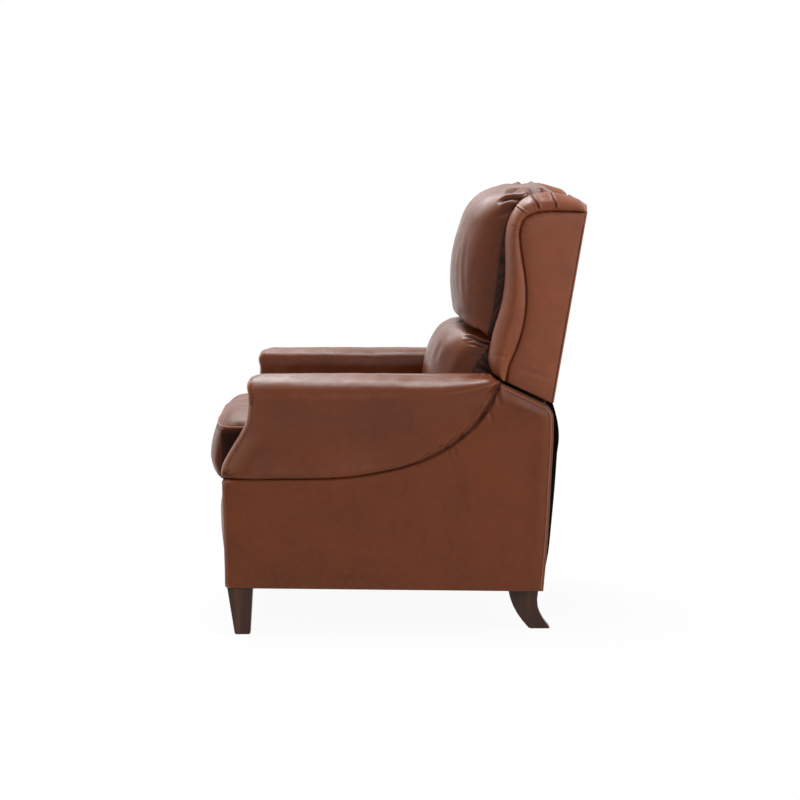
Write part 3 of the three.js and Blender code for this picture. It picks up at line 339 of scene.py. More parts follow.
def throughPoints(points, steps=16, closed=False):
    # a smooth line through the points, the same number of steps on each stretch
    p = np.asarray(points, float)
    ring = np.vstack([p[-1:], p, p[:2]]) if closed else np.vstack([2 * p[0] - p[1], p, 2 * p[-1] - p[-2]])
    gap = np.maximum(np.linalg.norm(np.diff(ring, axis=0), axis=1), 1e-6) ** 0.6
    leg = np.diff(ring, axis=0) / gap[:, None]
    lean = (leg[:-1] * gap[1:, None] + leg[1:] * gap[:-1, None]) / (gap[:-1] + gap[1:])[:, None]
    t = np.linspace(0, 1, steps, endpoint=False)[:, None]
    parts = []
    for k in range(len(ring) - 3):
        a, b, h = ring[k + 1], ring[k + 2], gap[k + 1]
        parts.append((2 * t**3 - 3 * t**2 + 1) * a + (t**3 - 2 * t**2 + t) * h * lean[k]
                     + (3 * t**2 - 2 * t**3) * b + (t**3 - t**2) * h * lean[k + 1])
    if not closed:
        parts.append(ring[-2:-1])
    return np.vstack(parts)


def runAlong(line):
    # how far along the line each of its points is
    return np.concatenate([[0], np.cumsum(np.linalg.norm(np.diff(line, axis=0), axis=1))])


def evenly(line, count, ease=0.0):
    # count points along the line; ease above 0 gathers them at both ends
    line = np.asarray(line, float)
    run = runAlong(line)
    u = np.linspace(0, 1, count)
    u = u - ease * np.sin(2 * np.pi * u) / (2 * np.pi)
    return np.stack([np.interp(u * run[-1], run, line[:, k]) for k in range(line.shape[1])], 1)


def table(pairs):
    # a smooth lookup through pairs of (x, value)
    line = throughPoints(pairs)
    order = np.argsort(line[:, 0], kind="stable")
    return lambda x: np.interp(x, line[order, 0], line[order, 1])


def roundCorners(corners, count):
    # count points on each straight stretch from corner to corner
    return np.vstack([evenly([a, b], count)[:-1] for a, b in zip(corners[:-1], corners[1:])])


def patch(bottom, top, front, rear):
    # a grid between four edges: rows go up, columns go from front to rear
    # the spacing of the edges carries into the inside
    u, v = runAlong(bottom), runAlong(front)
    u, v = (u / u[-1])[None, :, None], (v / v[-1])[:, None, None]
    across = (1 - u) * front[:, None] + u * rear[:, None]
    upward = (1 - v) * bottom[None] + v * top[None]
    corners = ((1 - u) * (1 - v) * bottom[0] + u * (1 - v) * bottom[-1] + (1 - u) * v * top[0] + u * v * top[-1])
    return across + upward - corners


def toLine(points, line):
    # distance from each point to the line, and how far along the line that is, 0 to 1
    line = np.asarray(line, float)
    points = np.asarray(points, float)
    best = np.full(len(points), 1e9)
    where = np.zeros(len(points))
    run = runAlong(line)
    for k in range(len(line) - 1):
        a, d = line[k], line[k + 1] - line[k]
        t = np.clip(((points - a) @ d) / max(d @ d, 1e-9), 0, 1)
        gap = np.linalg.norm(points - (a + t[:, None] * d), axis=1)
        near = gap < best
        best[near] = gap[near]
        where[near] = (run[k] + t[near] * (run[k + 1] - run[k])) / run[-1]
    return best, where


def cloud(points, size, seed):
    # smooth noise, about -1 to 1: a few waves in fixed random directions
    pick = np.random.default_rng(seed)
    total = np.zeros(len(points))
    for _ in range(12):
        way = pick.normal(size=points.shape[1])
        way /= np.linalg.norm(way)
        total += np.sin(points @ way * 2 * np.pi / (size * pick.uniform(0.7, 1.6)) + pick.uniform(0, 6.28))
    return total / 4.2


def smooth(x, low, high):
    t = np.clip((x - low) / (high - low), 0, 1)
    return t * t * (3 - 2 * t)


def bell(x, width):
    # 1 at 0, falling away on both sides
    return np.exp(-(x / width) ** 2)


def gathered(x, size, stray, slow):
    # a row of small gathers, unevenly spaced
    return np.sin(x / size + stray * np.sin(x / slow))


def edgeRoll(gap, radius):
    # how far a rounded edge has dropped at this distance from it, 1 at the edge to 0
    return 1 - np.sqrt(np.clip(1 - np.clip((radius - gap) / radius, 0, 1) ** 2, 0, 1))


def gridNormals(grid, closed=False):
    rows = np.gradient(grid, axis=0)
    if closed:
        columns = (np.roll(grid, -1, axis=1) - np.roll(grid, 1, axis=1)) / 2
    else:
        columns = np.gradient(grid, axis=1)
    normal = np.cross(rows, columns)
    return normal / np.maximum(np.linalg.norm(normal, axis=2, keepdims=True), 1e-9)


def fold(path, width, depth, fadeIn=0.35, fadeOut=0.35, dark=None):
    # a fold along a path: its width and depth in mm, how far it fades in and out, and how much painted shade
    # darkens its valley
    return {"path": path, "width": width, "depth": depth, "fadeIn": fadeIn, "fadeOut": fadeOut,
            "dark": min(1.0, depth / 5) if dark is None else dark}


def creases(points, normals, shadeMark, folds, plane=(1, 2), when=None):
    # presses folds into a surface and paints shade into their valleys; their paths lie in the plane, or in all
    # three axes
    flat = points[:, list(plane)]
    moved = np.zeros(len(points))
    for made in folds:
        path = np.array(made["path"], float)
        if len(plane) == 3:
            path = np.array([flat[np.linalg.norm(flat - spot, axis=1).argmin()] for spot in path])
        path = throughPoints(path, 8)
        w, depth = made["width"], made["depth"]
        low, high = path.min(0) - 5 * w, path.max(0) + 5 * w
        near = np.all((flat > low) & (flat < high), axis=1)
        if when is not None:
            near &= when
        if not near.any():
            continue
        gap, along = toLine(flat[near], path)
        fade = smooth(along, 0, made["fadeIn"]) * smooth(1 - along, 0, made["fadeOut"])
        valley = bell(gap, w) * fade
        ridge = bell(gap - 2.1 * w, 1.2 * w) * fade
        moved[near] += depth * (0.4 * ridge - valley)
        shadeMark[near] = np.maximum(shadeMark[near], valley * made["dark"])
    points += normals * moved[:, None]


def rimOf(index):
    # the points round the edge of a grid, in order
    return list(index[0]) + list(index[1:, -1]) + list(index[-1, ::-1][1:]) + list(index[::-1, 0][1:-1])


class Form:
    # gathers grids of points into one mesh, with the painted shade and the wear and painted highlight at each
    # point
    def __init__(self, name, finish, side=1):
        self.name, self.finish, self.side = name, finish, side
        self.points, self.faces, self.crease, self.worn, self.count = [], [], [], [], 0

    def add(self, grid, crease=0.0, worn=0.0, closed=False):
        rows, columns = grid.shape[:2]
        index = self.count + np.arange(rows * columns).reshape(rows, columns)
        if closed:
            index = np.hstack([index, index[:, :1]])
        quads = np.stack([index[:-1, :-1], index[:-1, 1:], index[1:, 1:], index[1:, :-1]], -1).reshape(-1, 4)
        self.faces.extend(quads.tolist())
        self.points.append(grid.reshape(-1, 3))
        self.crease.append(np.broadcast_to(crease, (rows, columns)).reshape(-1))
        self.worn.append(np.broadcast_to(worn, (rows, columns)).reshape(-1))
        self.count += rows * columns
        return index

    def close(self, loop):
        self.faces.append([int(k) for k in loop])

    def build(self, merge=0.05):
        points = np.vstack(self.points) * mm
        points[:, 0] *= self.side
        mesh = bpy.data.meshes.new(self.name)
        mesh.from_pydata(points.tolist(), [], self.faces)
        for key, values in (("crease", self.crease), ("worn", self.worn)):
            layer = mesh.attributes.new(key, "FLOAT", "POINT")
            layer.data.foreach_set("value", np.clip(np.concatenate(values), 0, 1).astype(np.float32))
        shaped = bmesh.new()
        shaped.from_mesh(mesh)
        bmesh.ops.remove_doubles(shaped, verts=shaped.verts, dist=merge * mm)
        bmesh.ops.dissolve_degenerate(shaped, dist=0.01 * mm, edges=shaped.edges)
        bmesh.ops.recalc_face_normals(shaped, faces=shaped.faces)
        shaped.to_mesh(mesh)
        shaped.free()
        mesh.polygons.foreach_set("use_smooth", [True] * len(mesh.polygons))
        mesh.materials.append(self.finish)
        piece = bpy.data.objects.new(self.name, mesh)
        scene.collection.objects.link(piece)
        return piece


def closeRim(form, rows, crease):
    # the turned-in edge of a cover, and the flat back that closes it, darkened with painted shade
    wrap = form.add(np.array(rows), crease, 0.0, closed=True)
    form.close(wrap[-1, :-1])


def turnIn(form, index, axis, places, crease=0.1):
    # turns a cover's edge in along an axis, with a ring of points at each place, and paints slight shade on the
    # turned-in part
    base = np.vstack(form.points)[rimOf(index)]
    rings = [base]
    for place in places:
        ring = base.copy()
        ring[:, axis] = place
        rings.append(ring)
    closeRim(form, rings, crease)


def makeCover(name, finish, shape, points, crease, worn=0.0, side=1):
    # one closed cover from the points of its grid
    form = Form(name, finish, side)
    worn = np.broadcast_to(worn, crease.shape)
    form.add(points.reshape(*shape, 3), crease.reshape(shape), worn.reshape(shape), closed=True)
    return form.build()


def addTube(form, path, radius, worn=0.6):
    # a cord along a path, with rounded ends, lightened by wear and painted highlight
    path = np.asarray(path, float)
    ahead = np.gradient(path, axis=0)
    ahead /= np.maximum(np.linalg.norm(ahead, axis=1, keepdims=True), 1e-9)
    side = np.cross(ahead[0], (0.31, 0.43, 0.85))
    rings = []
    angle = np.linspace(0, 2 * np.pi, 10, endpoint=False)
    for point, way in zip(path, ahead):
        side = side - way * (side @ way)
        side /= max(np.linalg.norm(side), 1e-9)
        other = np.cross(way, side)
        rings.append(point + radius * (np.cos(angle)[:, None] * side + np.sin(angle)[:, None] * other))
    first = path[0] + (rings[0] - path[0]) * 0.6 - ahead[0] * radius * 0.6
    last = path[-1] + (rings[-1] - path[-1]) * 0.6 + ahead[-1] * radius * 0.6
    tips = [np.repeat(end.mean(0)[None], len(angle), 0) for end in (first, last)]
    form.add(np.array([tips[0], first] + rings + [last, tips[1]]), 0.0, worn, closed=True)


def addStitches(form, path, long=4.6, gap=2.4, radius=0.7, lift=0.4, out=(1, 0, 0)):
    # a row of short stitches lying on a path
    path = np.asarray(path, float)
    run = runAlong(path)
    count = int(run[-1] // (long + gap))
    out = np.asarray(out, float)
    turn = np.linspace(0, 2 * np.pi, 6, endpoint=False)
    for k in range(count):
        ends = [np.array([np.interp(s, run, path[:, a]) for a in range(3)])
                for s in (k * (long + gap), k * (long + gap) + long)]
        way = ends[1] - ends[0]
        if np.linalg.norm(way) < 0.5:
            continue
        way /= np.linalg.norm(way)
        side = np.cross(way, out)
        side /= max(np.linalg.norm(side), 1e-9)
        rings = []
        for share, fat in ((0, 0.05), (0.15, 0.8), (0.5, 1.0), (0.85, 0.8), (1, 0.05)):
            centre = ends[0] * (1 - share) + ends[1] * share + out * (lift * math.sin(math.pi * share) + 0.1)
            rings.append(centre + fat * radius * (np.cos(turn)[:, None] * side + np.sin(turn)[:, None] * out))
        form.add(np.array(rings), 0.0, 0.0, closed=True)


def onSurface(path, points, axis=0, lift=0.0):
    # lays a path on a surface, by the nearest surface points seen along one axis
    keep = [k for k in range(3) if k != axis]
    tree = KDTree(len(points))
    for k, p in enumerate(points):
        tree.insert((p[keep[0]], p[keep[1]], 0), k)
    tree.balance()
    laid = []
    for p in path:
        found = tree.find_n((p[keep[0]], p[keep[1]], 0), 4)
        weight = np.array([1 / (f[2] + 0.3) for f in found])
        height = (np.array([points[f[1], axis] for f in found]) * weight).sum() / weight.sum()
        new = np.array(p, float)
        new[axis] = height + lift
        laid.append(new)
    laid = np.array(laid)
    if len(laid) > 8:
        soft = laid[:, axis].copy()
        for _ in range(3):
            soft[1:-1] = (soft[:-2] + 2 * soft[1:-1] + soft[2:]) / 4
        laid[:, axis] = soft
    return laid


def onSide(line, points, lift=0.0):
    # lays a line drawn in (Y, Z) on the surface as it is seen from the side
    return onSurface(np.column_stack([np.zeros(len(line)), line]), points, lift=lift)


def settle(piece, body, slot, *nodes, fill=None):
    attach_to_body(piece, body)
    if nodes:
        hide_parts(*nodes)


def attach(piece, parent):
    # trim that goes with a larger piece
    bpy.context.view_layer.update()
    piece.parent = parent
    piece.matrix_parent_inverse = parent.matrix_world.inverted()


sides = (("left", 1), ("right", -1))


# side panels

panel = {
    "outerX": 375.0, "frontY": -404.0, "length": 772.0, "bottomZ": 102.0, "height": 498.0,
    "round": 8.0, "puff": 2.4, "hemLines": (4.6, 9.4), "wave": 0.8,
    "seam": [(.0194, .5361), (.3316, .5402), (.3964, .5482), (.4715, .5663), (.5415, .5904), (.6062, .6245),
             (.6697, .6727), (.7293, .741), (.7772, .8153), (.8096, .8896), (.8251, .9478), (.838, .985)],
    "rear": [(.9715, 0), (.9845, .243), (.9935, .526), (1, .761), (.9985, .83), (.993, .8554), (.978, .8815)],
    "front": [(.0148, .018), (.0078, .0281), (0, .52), (.0194, .5361)],
}


def panelPoint(share):
    return (panel["frontY"] + share[0] * panel["length"], panel["bottomZ"] + share[1] * panel["height"])


panelSeam = np.array([panelPoint(s) for s in panel["seam"]])
panelRear = np.array([panelPoint(s) for s in panel["rear"]])
panelFront = np.array([panelPoint(s) for s in panel["front"]])
seamLine = throughPoints(panelSeam, 24)


def seamHeight(y):
    return np.interp(y, seamLine[:, 0], seamLine[:, 1])


# small tucks on the panel just below the arm's seam, in (Y, Z)
panelFolds = [
    fold([(-400, 362), (-392, 357), (-384, 354)], 1.8, 1.8, fadeIn=0.1),
    fold([(-398, 352), (-390, 350), (-380, 351)], 1.6, 1.2),
    fold([(48, 402), (56, 396), (66, 394)], 1.8, 1.8, fadeIn=0.1),
    fold([(72, 412), (76, 403), (84, 398)], 1.8, 1.6, fadeIn=0.1),
    fold([(122, 438), (126, 428), (128, 414)], 2.2, 2.2, fadeIn=0.1),
    fold([(134, 447), (140, 434), (141, 420)], 2.0, 2.0, fadeIn=0.1),
    fold([(216, 532), (222, 516), (224, 498)], 4.0, 1.4, fadeIn=0.1, dark=0.2),
    fold([(236, 585), (238, 562), (246, 535)], 4.5, 2.0, fadeIn=0.1, dark=0.2),
]


def makePanel(word, side):
    top = np.vstack([throughPoints(panelSeam, 12), evenly([panelSeam[-1], panelRear[-1]], 12)[1:]])
    quarter = np.vstack([evenly([panelSeam[-1], panelRear[-1]], 12), throughPoints(panelRear[::-1], 12)])
    rear = throughPoints(panelRear, 12)
    front = np.vstack([evenly(panelFront[:2], 4)[:-1], evenly(panelFront[1:3], 20)[:-1],
                       evenly(panelFront[2:], 6)])
    bottom = evenly([panelFront[0], panelRear[0]], 50)
    columns, rows = 270, 150
    flat = patch(evenly(bottom, columns, 0.75), evenly(top, columns, 0.75), evenly(front, rows, 0.75),
                 evenly(rear, rows, 0.75))
    loop = np.vstack([flat[0], flat[1:, -1], flat[-1, ::-1][1:], flat[::-1, 0][1:]])
    spots = flat.reshape(-1, 2)
    gap, _ = toLine(spots, loop[::3])
    gap[gap < 0.5] = 0.0
    rearGap, _ = toLine(spots, quarter[::2])
    frontGap, _ = toLine(spots, front[::2])
    seamGap, _ = toLine(spots, throughPoints(panelSeam, 6))
    r = panel["round"] + 7.0 * smooth(40 - frontGap, 0, 30) * smooth(spots[:, 1], 120, 160)
    drop = r * edgeRoll(gap, r)
    puff = panel["puff"] * (1 - np.exp(-gap / 30))
    puff += panel["wave"] * cloud(spots, 230, 5 + side) * smooth(gap, 5, 70)
    # the leather dips before the doubled rear hem
    puff -= 3.4 * bell(rearGap - 2, 16)
    puff += 1.6 * bell(rearGap - 27, 16) * smooth(spots[:, 1], 120, 200)
    lines = sum(bell(rearGap - at, 0.9) for at in panel["hemLines"])
    ridge = bell(rearGap - sum(panel["hemLines"]) / 2, 2.0)
    puff += 1.0 * ridge - 0.9 * lines
    puff -= 2.6 * bell(seamGap, 5)
    run = spots[:, :1]
    gathers = np.sin(spots[:, 0] / 6.1 + 2.2 * cloud(run, 60, 11)) * (0.5 + 0.5 * cloud(run, 90, 12))
    puff += 0.8 * gathers * np.exp(-seamGap / 9) * (0.25 + smooth(spots[:, 0], 0, 60))
    points = np.column_stack([panel["outerX"] - drop + puff, spots])
    # painted shade: darker in the seam to the arm, in the hem's stitch lines and in a band below the seam
    crease = 0.95 * bell(seamGap, 1.6) + 0.4 * lines + 0.16 * bell(seamGap, 9)
    normals = np.tile((1.0, 0, 0), (len(points), 1))
    creases(points, normals, crease, panelFolds)
    # painted shade along the bottom edge and the rear edge
    hem = spots[:, 1] - np.interp(spots[:, 0], (-393, 346), (111, 102))
    crease = np.maximum(crease, 0.9 * smooth(2.6 - hem, 0, 1.6))
    crease = np.maximum(crease, 0.7 * smooth(1.8 - rearGap, 0, 1.2))
    # lighter on the hem's ridge and along the front edge: partly rubbed wear, partly painted highlight where the
    # rounded edges catch the light
    worn = 0.55 * ridge + 0.35 * smooth(11 - frontGap, 0, 8)
    form = Form(word + "_side_panel_leather", leather, side)
    index = form.add(points.reshape(rows, columns, 3), crease.reshape(rows, columns), worn.reshape(rows, columns))
    # the edge turns in to the board behind it; painted shade darkens the turned-in part, except at the front
    base = points[rimOf(index)]
    places = [np.minimum(base[:, 0] - 0.3 * depth, panel["outerX"] - panel["round"] - depth + 0.6)
              for depth in (6.0, 13.0, 21.0)]
    turnIn(form, index, 0, places, np.where(base[:, 1] < -380, 0.06, 0.5)[None])
    addPanelFront(form)
    piece = form.build()
    settle(piece, "base", "leather", word + "_side_panel", fill=0.35)

    seams = Form(word + "_side_panel_stitches", thread, side)
    hemPath = quarter[::-1]
    inner = onSide(inset(hemPath, panel["hemLines"][1] - 0.3), points[::2])
    addStitches(seams, inner[4:-3], lift=0.3, radius=0.55)
    edge = evenly(panelFront[1:3], 120)[3:-3]
    laid = onSide(edge + (3.2, 0), points[::2])
    addStitches(seams, laid, out=(0.6, -0.8, 0), lift=0.3, radius=0.6)
    attach(seams.build(), piece)


def inset(line, by):
    # an open line in a plane, moved to its left
    ahead = np.gradient(line, axis=0)
    ahead /= np.maximum(np.linalg.norm(ahead, axis=1, keepdims=True), 1e-9)
    left = np.column_stack([-ahead[:, 1], ahead[:, 0]])
    for _ in range(6):
        left[1:-1] = (left[:-2] + 2 * left[1:-1] + left[2:]) / 4
    left /= np.maximum(np.linalg.norm(left, axis=1, keepdims=True), 1e-9)
    return line + left * by


def addPanelFront(form):
    # the narrow front face beside the footrest
    columns, rows = 40, 90
    z = np.linspace(112, 367, rows)
    x = np.linspace(265, 358, columns)
    grid = np.zeros((rows, columns, 3))
    edgeY = np.interp(z, panelFront[1:3, 1], panelFront[1:3, 0])
    for k in range(rows):
        inX = np.minimum(x - 265, 360 - x)
        inZ = min(z[k] - 112, 368 - z[k])
        soft = 5 * edgeRoll(np.minimum(inX, inZ), 7)
        y = edgeY[k] + 1.5 + soft - 1.5 * np.sin(np.pi * (x - 265) / 95)
        grid[k] = np.column_stack([x, y, np.full(columns, z[k])])
    spots = grid.reshape(-1, 3)
    spots[:, 1] += 0.8 * cloud(spots, 90, 31)
    index = form.add(grid, 0.05, 0.25)
    turnIn(form, index, 1, (-392.0, -386.0))


# arms

arm = {
    "innerX": 265.0, "outerX": 375.0, "topZ": 608.0, "innerBottomZ": 368.0, "frontY": -341.0, "nose": 69.0,
    "middleX": 318.0, "rearY": 243.0, "bulge": 13.0, "panelSeam": 11.0,
    "noseShares": [(0, 1), (.105, .913), (.29, .58), (.42, .3), (.5, .159), (.6, .06), (.8, 0), (.9, .058),
                   (.955, 0), (1, -.28)],
    "heights": [0, .12, .33, .5, .64, .76, .86, .93, .975, 1],
    "outer": [0, -.4, -.7, -.4, .45, .95, .55, -.5, -1.8, -3.1],
    "inner": [0, 0, 0, 0, 0, 0, .005, .04, .13, .34],
}

noseTable = table(arm["noseShares"])


def noseY(z):
    share = (np.asarray(z, float) - arm["innerBottomZ"]) / (arm["topZ"] - arm["innerBottomZ"])
    return arm["frontY"] - arm["nose"] * noseTable(np.clip(share, 0, 1))


# small puckers at the arm's front edge and foot, in (X, Y, Z)
armPuckers = [
    fold([(376, -344, 557), (384, -337, 551), (386, -328, 546)], 2.4, 3.8, fadeIn=0.02),
    fold([(376, -344, 545), (384, -337, 549), (386, -329, 555)], 2.0, 2.6, fadeIn=0.02),
    fold([(374, -342, 565), (383, -335, 560), (385, -329, 558)], 2.0, 2.2, fadeIn=0.02),
    fold([(358, -407, 376), (366, -396, 385), (369, -388, 398)], 2.6, 2.8, fadeIn=0.02),
    fold([(358, -408, 388), (366, -397, 381), (370, -380, 373)], 2.6, 3.0, fadeIn=0.02),
    fold([(364, -402, 372), (369, -388, 378), (371, -366, 381)], 2.6, 2.0, dark=0.2),
]
# folds seen on the arm's outside, in (Y, Z)
armFolds = [
    fold([(58, 412), (66, 424), (80, 434)], 2.4, 2.0, fadeIn=0.05),
    fold([(92, 428), (98, 440), (112, 452)], 2.6, 1.8, fadeIn=0.05),
    fold([(116, 440), (128, 458), (146, 474)], 3.4, 3.0, fadeIn=0.05, dark=0.4),
    fold([(150, 464), (164, 486), (180, 504)], 3.6, 2.6, fadeIn=0.05, dark=0.4),
    fold([(192, 500), (208, 528), (222, 556), (236, 590)], 5.0, 3.4, fadeIn=0.1, fadeOut=0.1, dark=0.5),
    fold([(196, 540), (214, 560), (232, 590)], 5.0, 2.6, dark=0.25),
]


def makeArm(word, side):
    heights, top, lift = arm["heights"], arm["topZ"], arm["innerBottomZ"]
    rearY, welt = arm["rearY"], arm["panelSeam"]

    def section(yLow):
        # one ring round the arm: up the outside, over the top, down the inside and back underneath
        seam = max(float(seamHeight(yLow)), lift)
        fall = 13.0 * smooth(yLow, 205, 243) ** 1.5
        high = top - fall
        size = min(1.0, max(0.0, (high - seam - 12) / 190.0)) ** 0.7
        # towards the rear the arm stays fuller, so that it hangs over the seam
        full = 9.0 * smooth(yLow, -60, 120) * smooth(260 - yLow, 0, 60)
        outside = []
        for h, s in zip(heights, arm["outer"]):
            over = full * (math.sin(math.pi * min(h * 3.5, 1.0) / 2) if h < 0.8 else max(0.0, (1 - h) / 0.2))
            outside.append((arm["outerX"] + arm["bulge"] * (s * size if s > -1.05 else s) + over
                            - (0 if s > -1.05 else 3.0 * (1 - size)), seam + (high - seam) * h))
        inside = [(arm["innerX"] + 110 * s, lift + (high - lift) * h) for h, s in zip(heights, arm["inner"])]
        line = throughPoints(outside + inside[::-1], 12)
        under = evenly([line[-1], line[0]], 24)[1:-1]
        return np.vstack([line, under])

    first = float(noseY(lift))
    lows = np.concatenate([evenly([[-408], [-300]], 44)[:-1, 0], evenly([[-300], [rearY]], 130)[:, 0]])
    rings = []
    for yLow in lows:
        ring = section(min(max(yLow, -389), 242.5))
        share = np.clip((yLow - first) / (rearY - first), 0, 1)
        y = noseY(ring[:, 1]) * (1 - share) + rearY * share
        rings.append(np.column_stack([ring[:, 0], y, ring[:, 1]]))
    rings = np.array(rings)
    # the front is rounded over into a stuffed front panel: wide at the foot, tight at the top
    low = rings[:, :, 2]
    reach = 15 + 58 * smooth(520 - low, 0, 130)
    depth = 11 + 15 * smooth(500 - low, 0, 110)
    nose = rings[:, :, 1] - noseY(low)
    bend = edgeRoll(nose, reach)
    away = np.sign(rings[:, :, 0] - arm["middleX"])
    narrow = np.clip(np.abs(rings[:, :, 0] - arm["middleX"]) / 40, 0, 1)
    rings[:, :, 0] -= away * depth * bend * narrow * np.where(away > 0, 1.0, 0.55)
    rings[:, :, 2] -= 7 * bend * smooth(low, top - 26, top - 4)
    front = rings[0].copy()
    middle = front.copy()
    middle[:, 0] = 314
    middle[:, 2] = np.clip(front[:, 2], lift + 46, top - 46)
    caps = []
    for t in np.linspace(0.0, 0.97, 22):
        row = middle + (front - middle) * t
        row[:, 1] = noseY(row[:, 2]) + 2.4 + 2.0 * t ** 6 - 3.6 * (1 - t ** 3)
        caps.append(row)
    keep = [k for k in range(len(rings)) if k == 0 or np.abs(rings[k, :, 1] - rings[k - 1, :, 1]).max() > 0.05]
    body = rings[keep]
    body[0, :, 1] += 1.0
    back = []
    for t in (0.92, 0.6, 0.25, 0.02):
        centre = body[-1].mean(0)
        row = centre + (body[-1] - centre) * t
        row[:, 1] = body[-1][:, 1] + 0.5 * (1 - t)
        back.append(row)
    grid = np.vstack([np.array(caps), body, np.array(back)])
    # the inside end stops in front of the wing's foot
    inner = grid[:, :, 0] < 343
    short = np.minimum(grid[:, :, 1], 226 + 17 * smooth(grid[:, :, 0], 336, 343))
    grid[:, :, 1] = np.where(inner, short, grid[:, :, 1])
    rowsFront = len(caps)
    normals = gridNormals(grid, closed=True)
    centre = grid[:, :, [0, 2]].mean(1)
    outward = ((grid[:, :, [0, 2]] - centre[:, None]) * normals[:, :, [0, 2]]).sum(2)
    if outward[rowsFront:rowsFront + 60].mean() < 0:
        normals = -normals
    points, normals = grid.reshape(-1, 3).copy(), normals.reshape(-1, 3)
    crease = np.zeros(len(points))
    nose = points[:, 1] - noseY(points[:, 2])
    free = smooth(nose, 6, 60) * smooth(rearY - points[:, 1], 0, 20)
    outer = points[:, 0] > 340
    points += normals * (1.2 * cloud(points, 190, 41 + side) * free + 0.35 * cloud(points, 60, 43) * free)[:, None]
    height = points[:, 2]
    lineIn = bell(nose - welt, 1.5) * smooth(height, 376, 390) * smooth(572 - height, 0, 14)
    points -= normals * (1.4 * lineIn)[:, None]
    # painted shade in the groove by the front welt
    crease = np.maximum(crease, 0.5 * lineIn)
    seamGap = np.abs(points[:, 2] - seamHeight(np.clip(points[:, 1], -389, rearY)))
    slope = np.gradient(seamLine[:, 1]) / np.maximum(np.gradient(seamLine[:, 0]), 1e-6)
    seamGap = seamGap / np.sqrt(1 + np.interp(points[:, 1], seamLine[:, 0], slope) ** 2)
    points[:, 0] -= np.where(outer, 5.0 * bell(seamGap, 5.0), 0)
    run = points[:, 1:2]
    ripple = np.sin(points[:, 1] / 5.6 + 2.5 * cloud(run, 70, 45)) * (0.55 + 0.45 * cloud(run, 80, 46))
    pull = np.exp(-seamGap / 9) * (0.3 + 0.7 * smooth(points[:, 1], -60, 60))
    points[:, 0] += np.where(outer, 0.8 * ripple * pull, 0)
    # painted shade along the seam to the side panel, with a wider band of it towards the rear
    crease = np.maximum(crease, np.where(outer, bell(seamGap, 1.7), 0))
    shade = 0.30 * bell(seamGap, 11) * smooth(points[:, 1], -20, 120)
    crease = np.maximum(crease, np.where(outer, shade, 0))
    creases(points, normals, crease, armPuckers, plane=(0, 1, 2), when=outer)
    creases(points, normals, crease, armFolds, when=outer)
    topCrease = [fold([(300, 196), (330, 202), (362, 194)], 4, 1.6, dark=0.2),
                 fold([(292, 212), (330, 215), (366, 208)], 4, 2.2, dark=0.3)]
    creases(points, normals, crease, topCrease, plane=(0, 1), when=points[:, 2] > 560)
    # painted highlight: lighter along the arm's top, its front edge and the lower front roll, where the light
    # catches them
    worn = 0.35 * smooth(9 - nose, 0, 5) + 0.10 * smooth(height, 592, 606)
    aside = smooth(points[:, 0], 338, 364)
    worn += 0.40 * aside * smooth(62 - nose, 0, 50) * smooth(500 - height, 0, 60) * smooth(height, 376, 400)
    worn += 0.35 * aside * smooth(22 - nose, 0, 18) * smooth(height, 470, 500) * smooth(560 - height, 0, 20)
    piece = makeCover(word + "_arm_leather", leatherArm, grid.shape[:2], points, crease, worn, side)
    settle(piece, "base", "leather", word + "_arm", fill=0.85)
    trim = Form(word + "_arm_piping", leatherCord, side)
    z = np.linspace(374, 596, 110)
    outside = points[(points[:, 0] > 322) & (points[:, 1] < -250)]
    laid = onSide(np.column_stack([noseY(z) + 4.2, z]), outside, lift=0.4)
    addTube(trim, laid, 2.0, worn=0.9)
    attach(trim.build(), piece)
    seams = Form(word + "_arm_stitches", thread, side)
    laid = onSide(np.column_stack([noseY(z) + welt + 2.6, z]), outside, lift=0.1)
    addStitches(seams, laid[8:-16], radius=0.5)
    attach(seams.build(), piece)


# wings

backLean = math.radians(9.6)
backFoot = (366.3, 531)


def backPoint(height, out):
    # the place in (Y, Z), so high up the leaning back and so far out in front of it
    return (backFoot[0] + height * math.sin(backLean) - out * math.cos(backLean),
            backFoot[1] + height * math.cos(backLean) + out * math.sin(backLean))


wing = {
    "innerX": 256.2, "outerX": 338.0,
    "outline": [(239, 601), (230, 607), (222, 622), (218, 642), (222, 671), (233, 720), (247, 767), (255, 818),
                (256.5, 867), (256, 914), (260, 954), (274, 988), (297, 1015), (332, 1029), (371, 1030),
                (410, 1020), (428, 1014), (440, 1003), (443, 989)],
    "seam": [(257, 592), (266, 631), (282, 670), (295, 712), (303, 759), (304, 798), (301, 837), (295, 875),
             (289, 914), (288, 941), (297, 968), (317, 982), (348, 988), (398, 988), (440, 986)],
    # how far along the roll's width, and how far out from the wing's outer face
    "roll": [(0, -7.5), (.035, -3.5), (.12, .8), (.26, 3.6), (.42, 4.2), (.58, 1.0), (.74, -7), (.88, -19),
             (.97, -32), (1, -41)],
    "flat": [(0, -6.5, 10.0), (.0, -5.0, 3.5), (.0, -2.6, 0.6), (.012, -1.0, 0), (.04, -.3, 0), (.12, .2, 0),
             (.26, .8, 0), (.4, 1.1, 0), (.55, 1.1, 0), (.7, .8, 0), (.82, .1, 0), (.91, -1.0, 0),
             (.965, -2.8, 0), (.99, -5.2, 0), (1.0, -7.5, 0)],
}

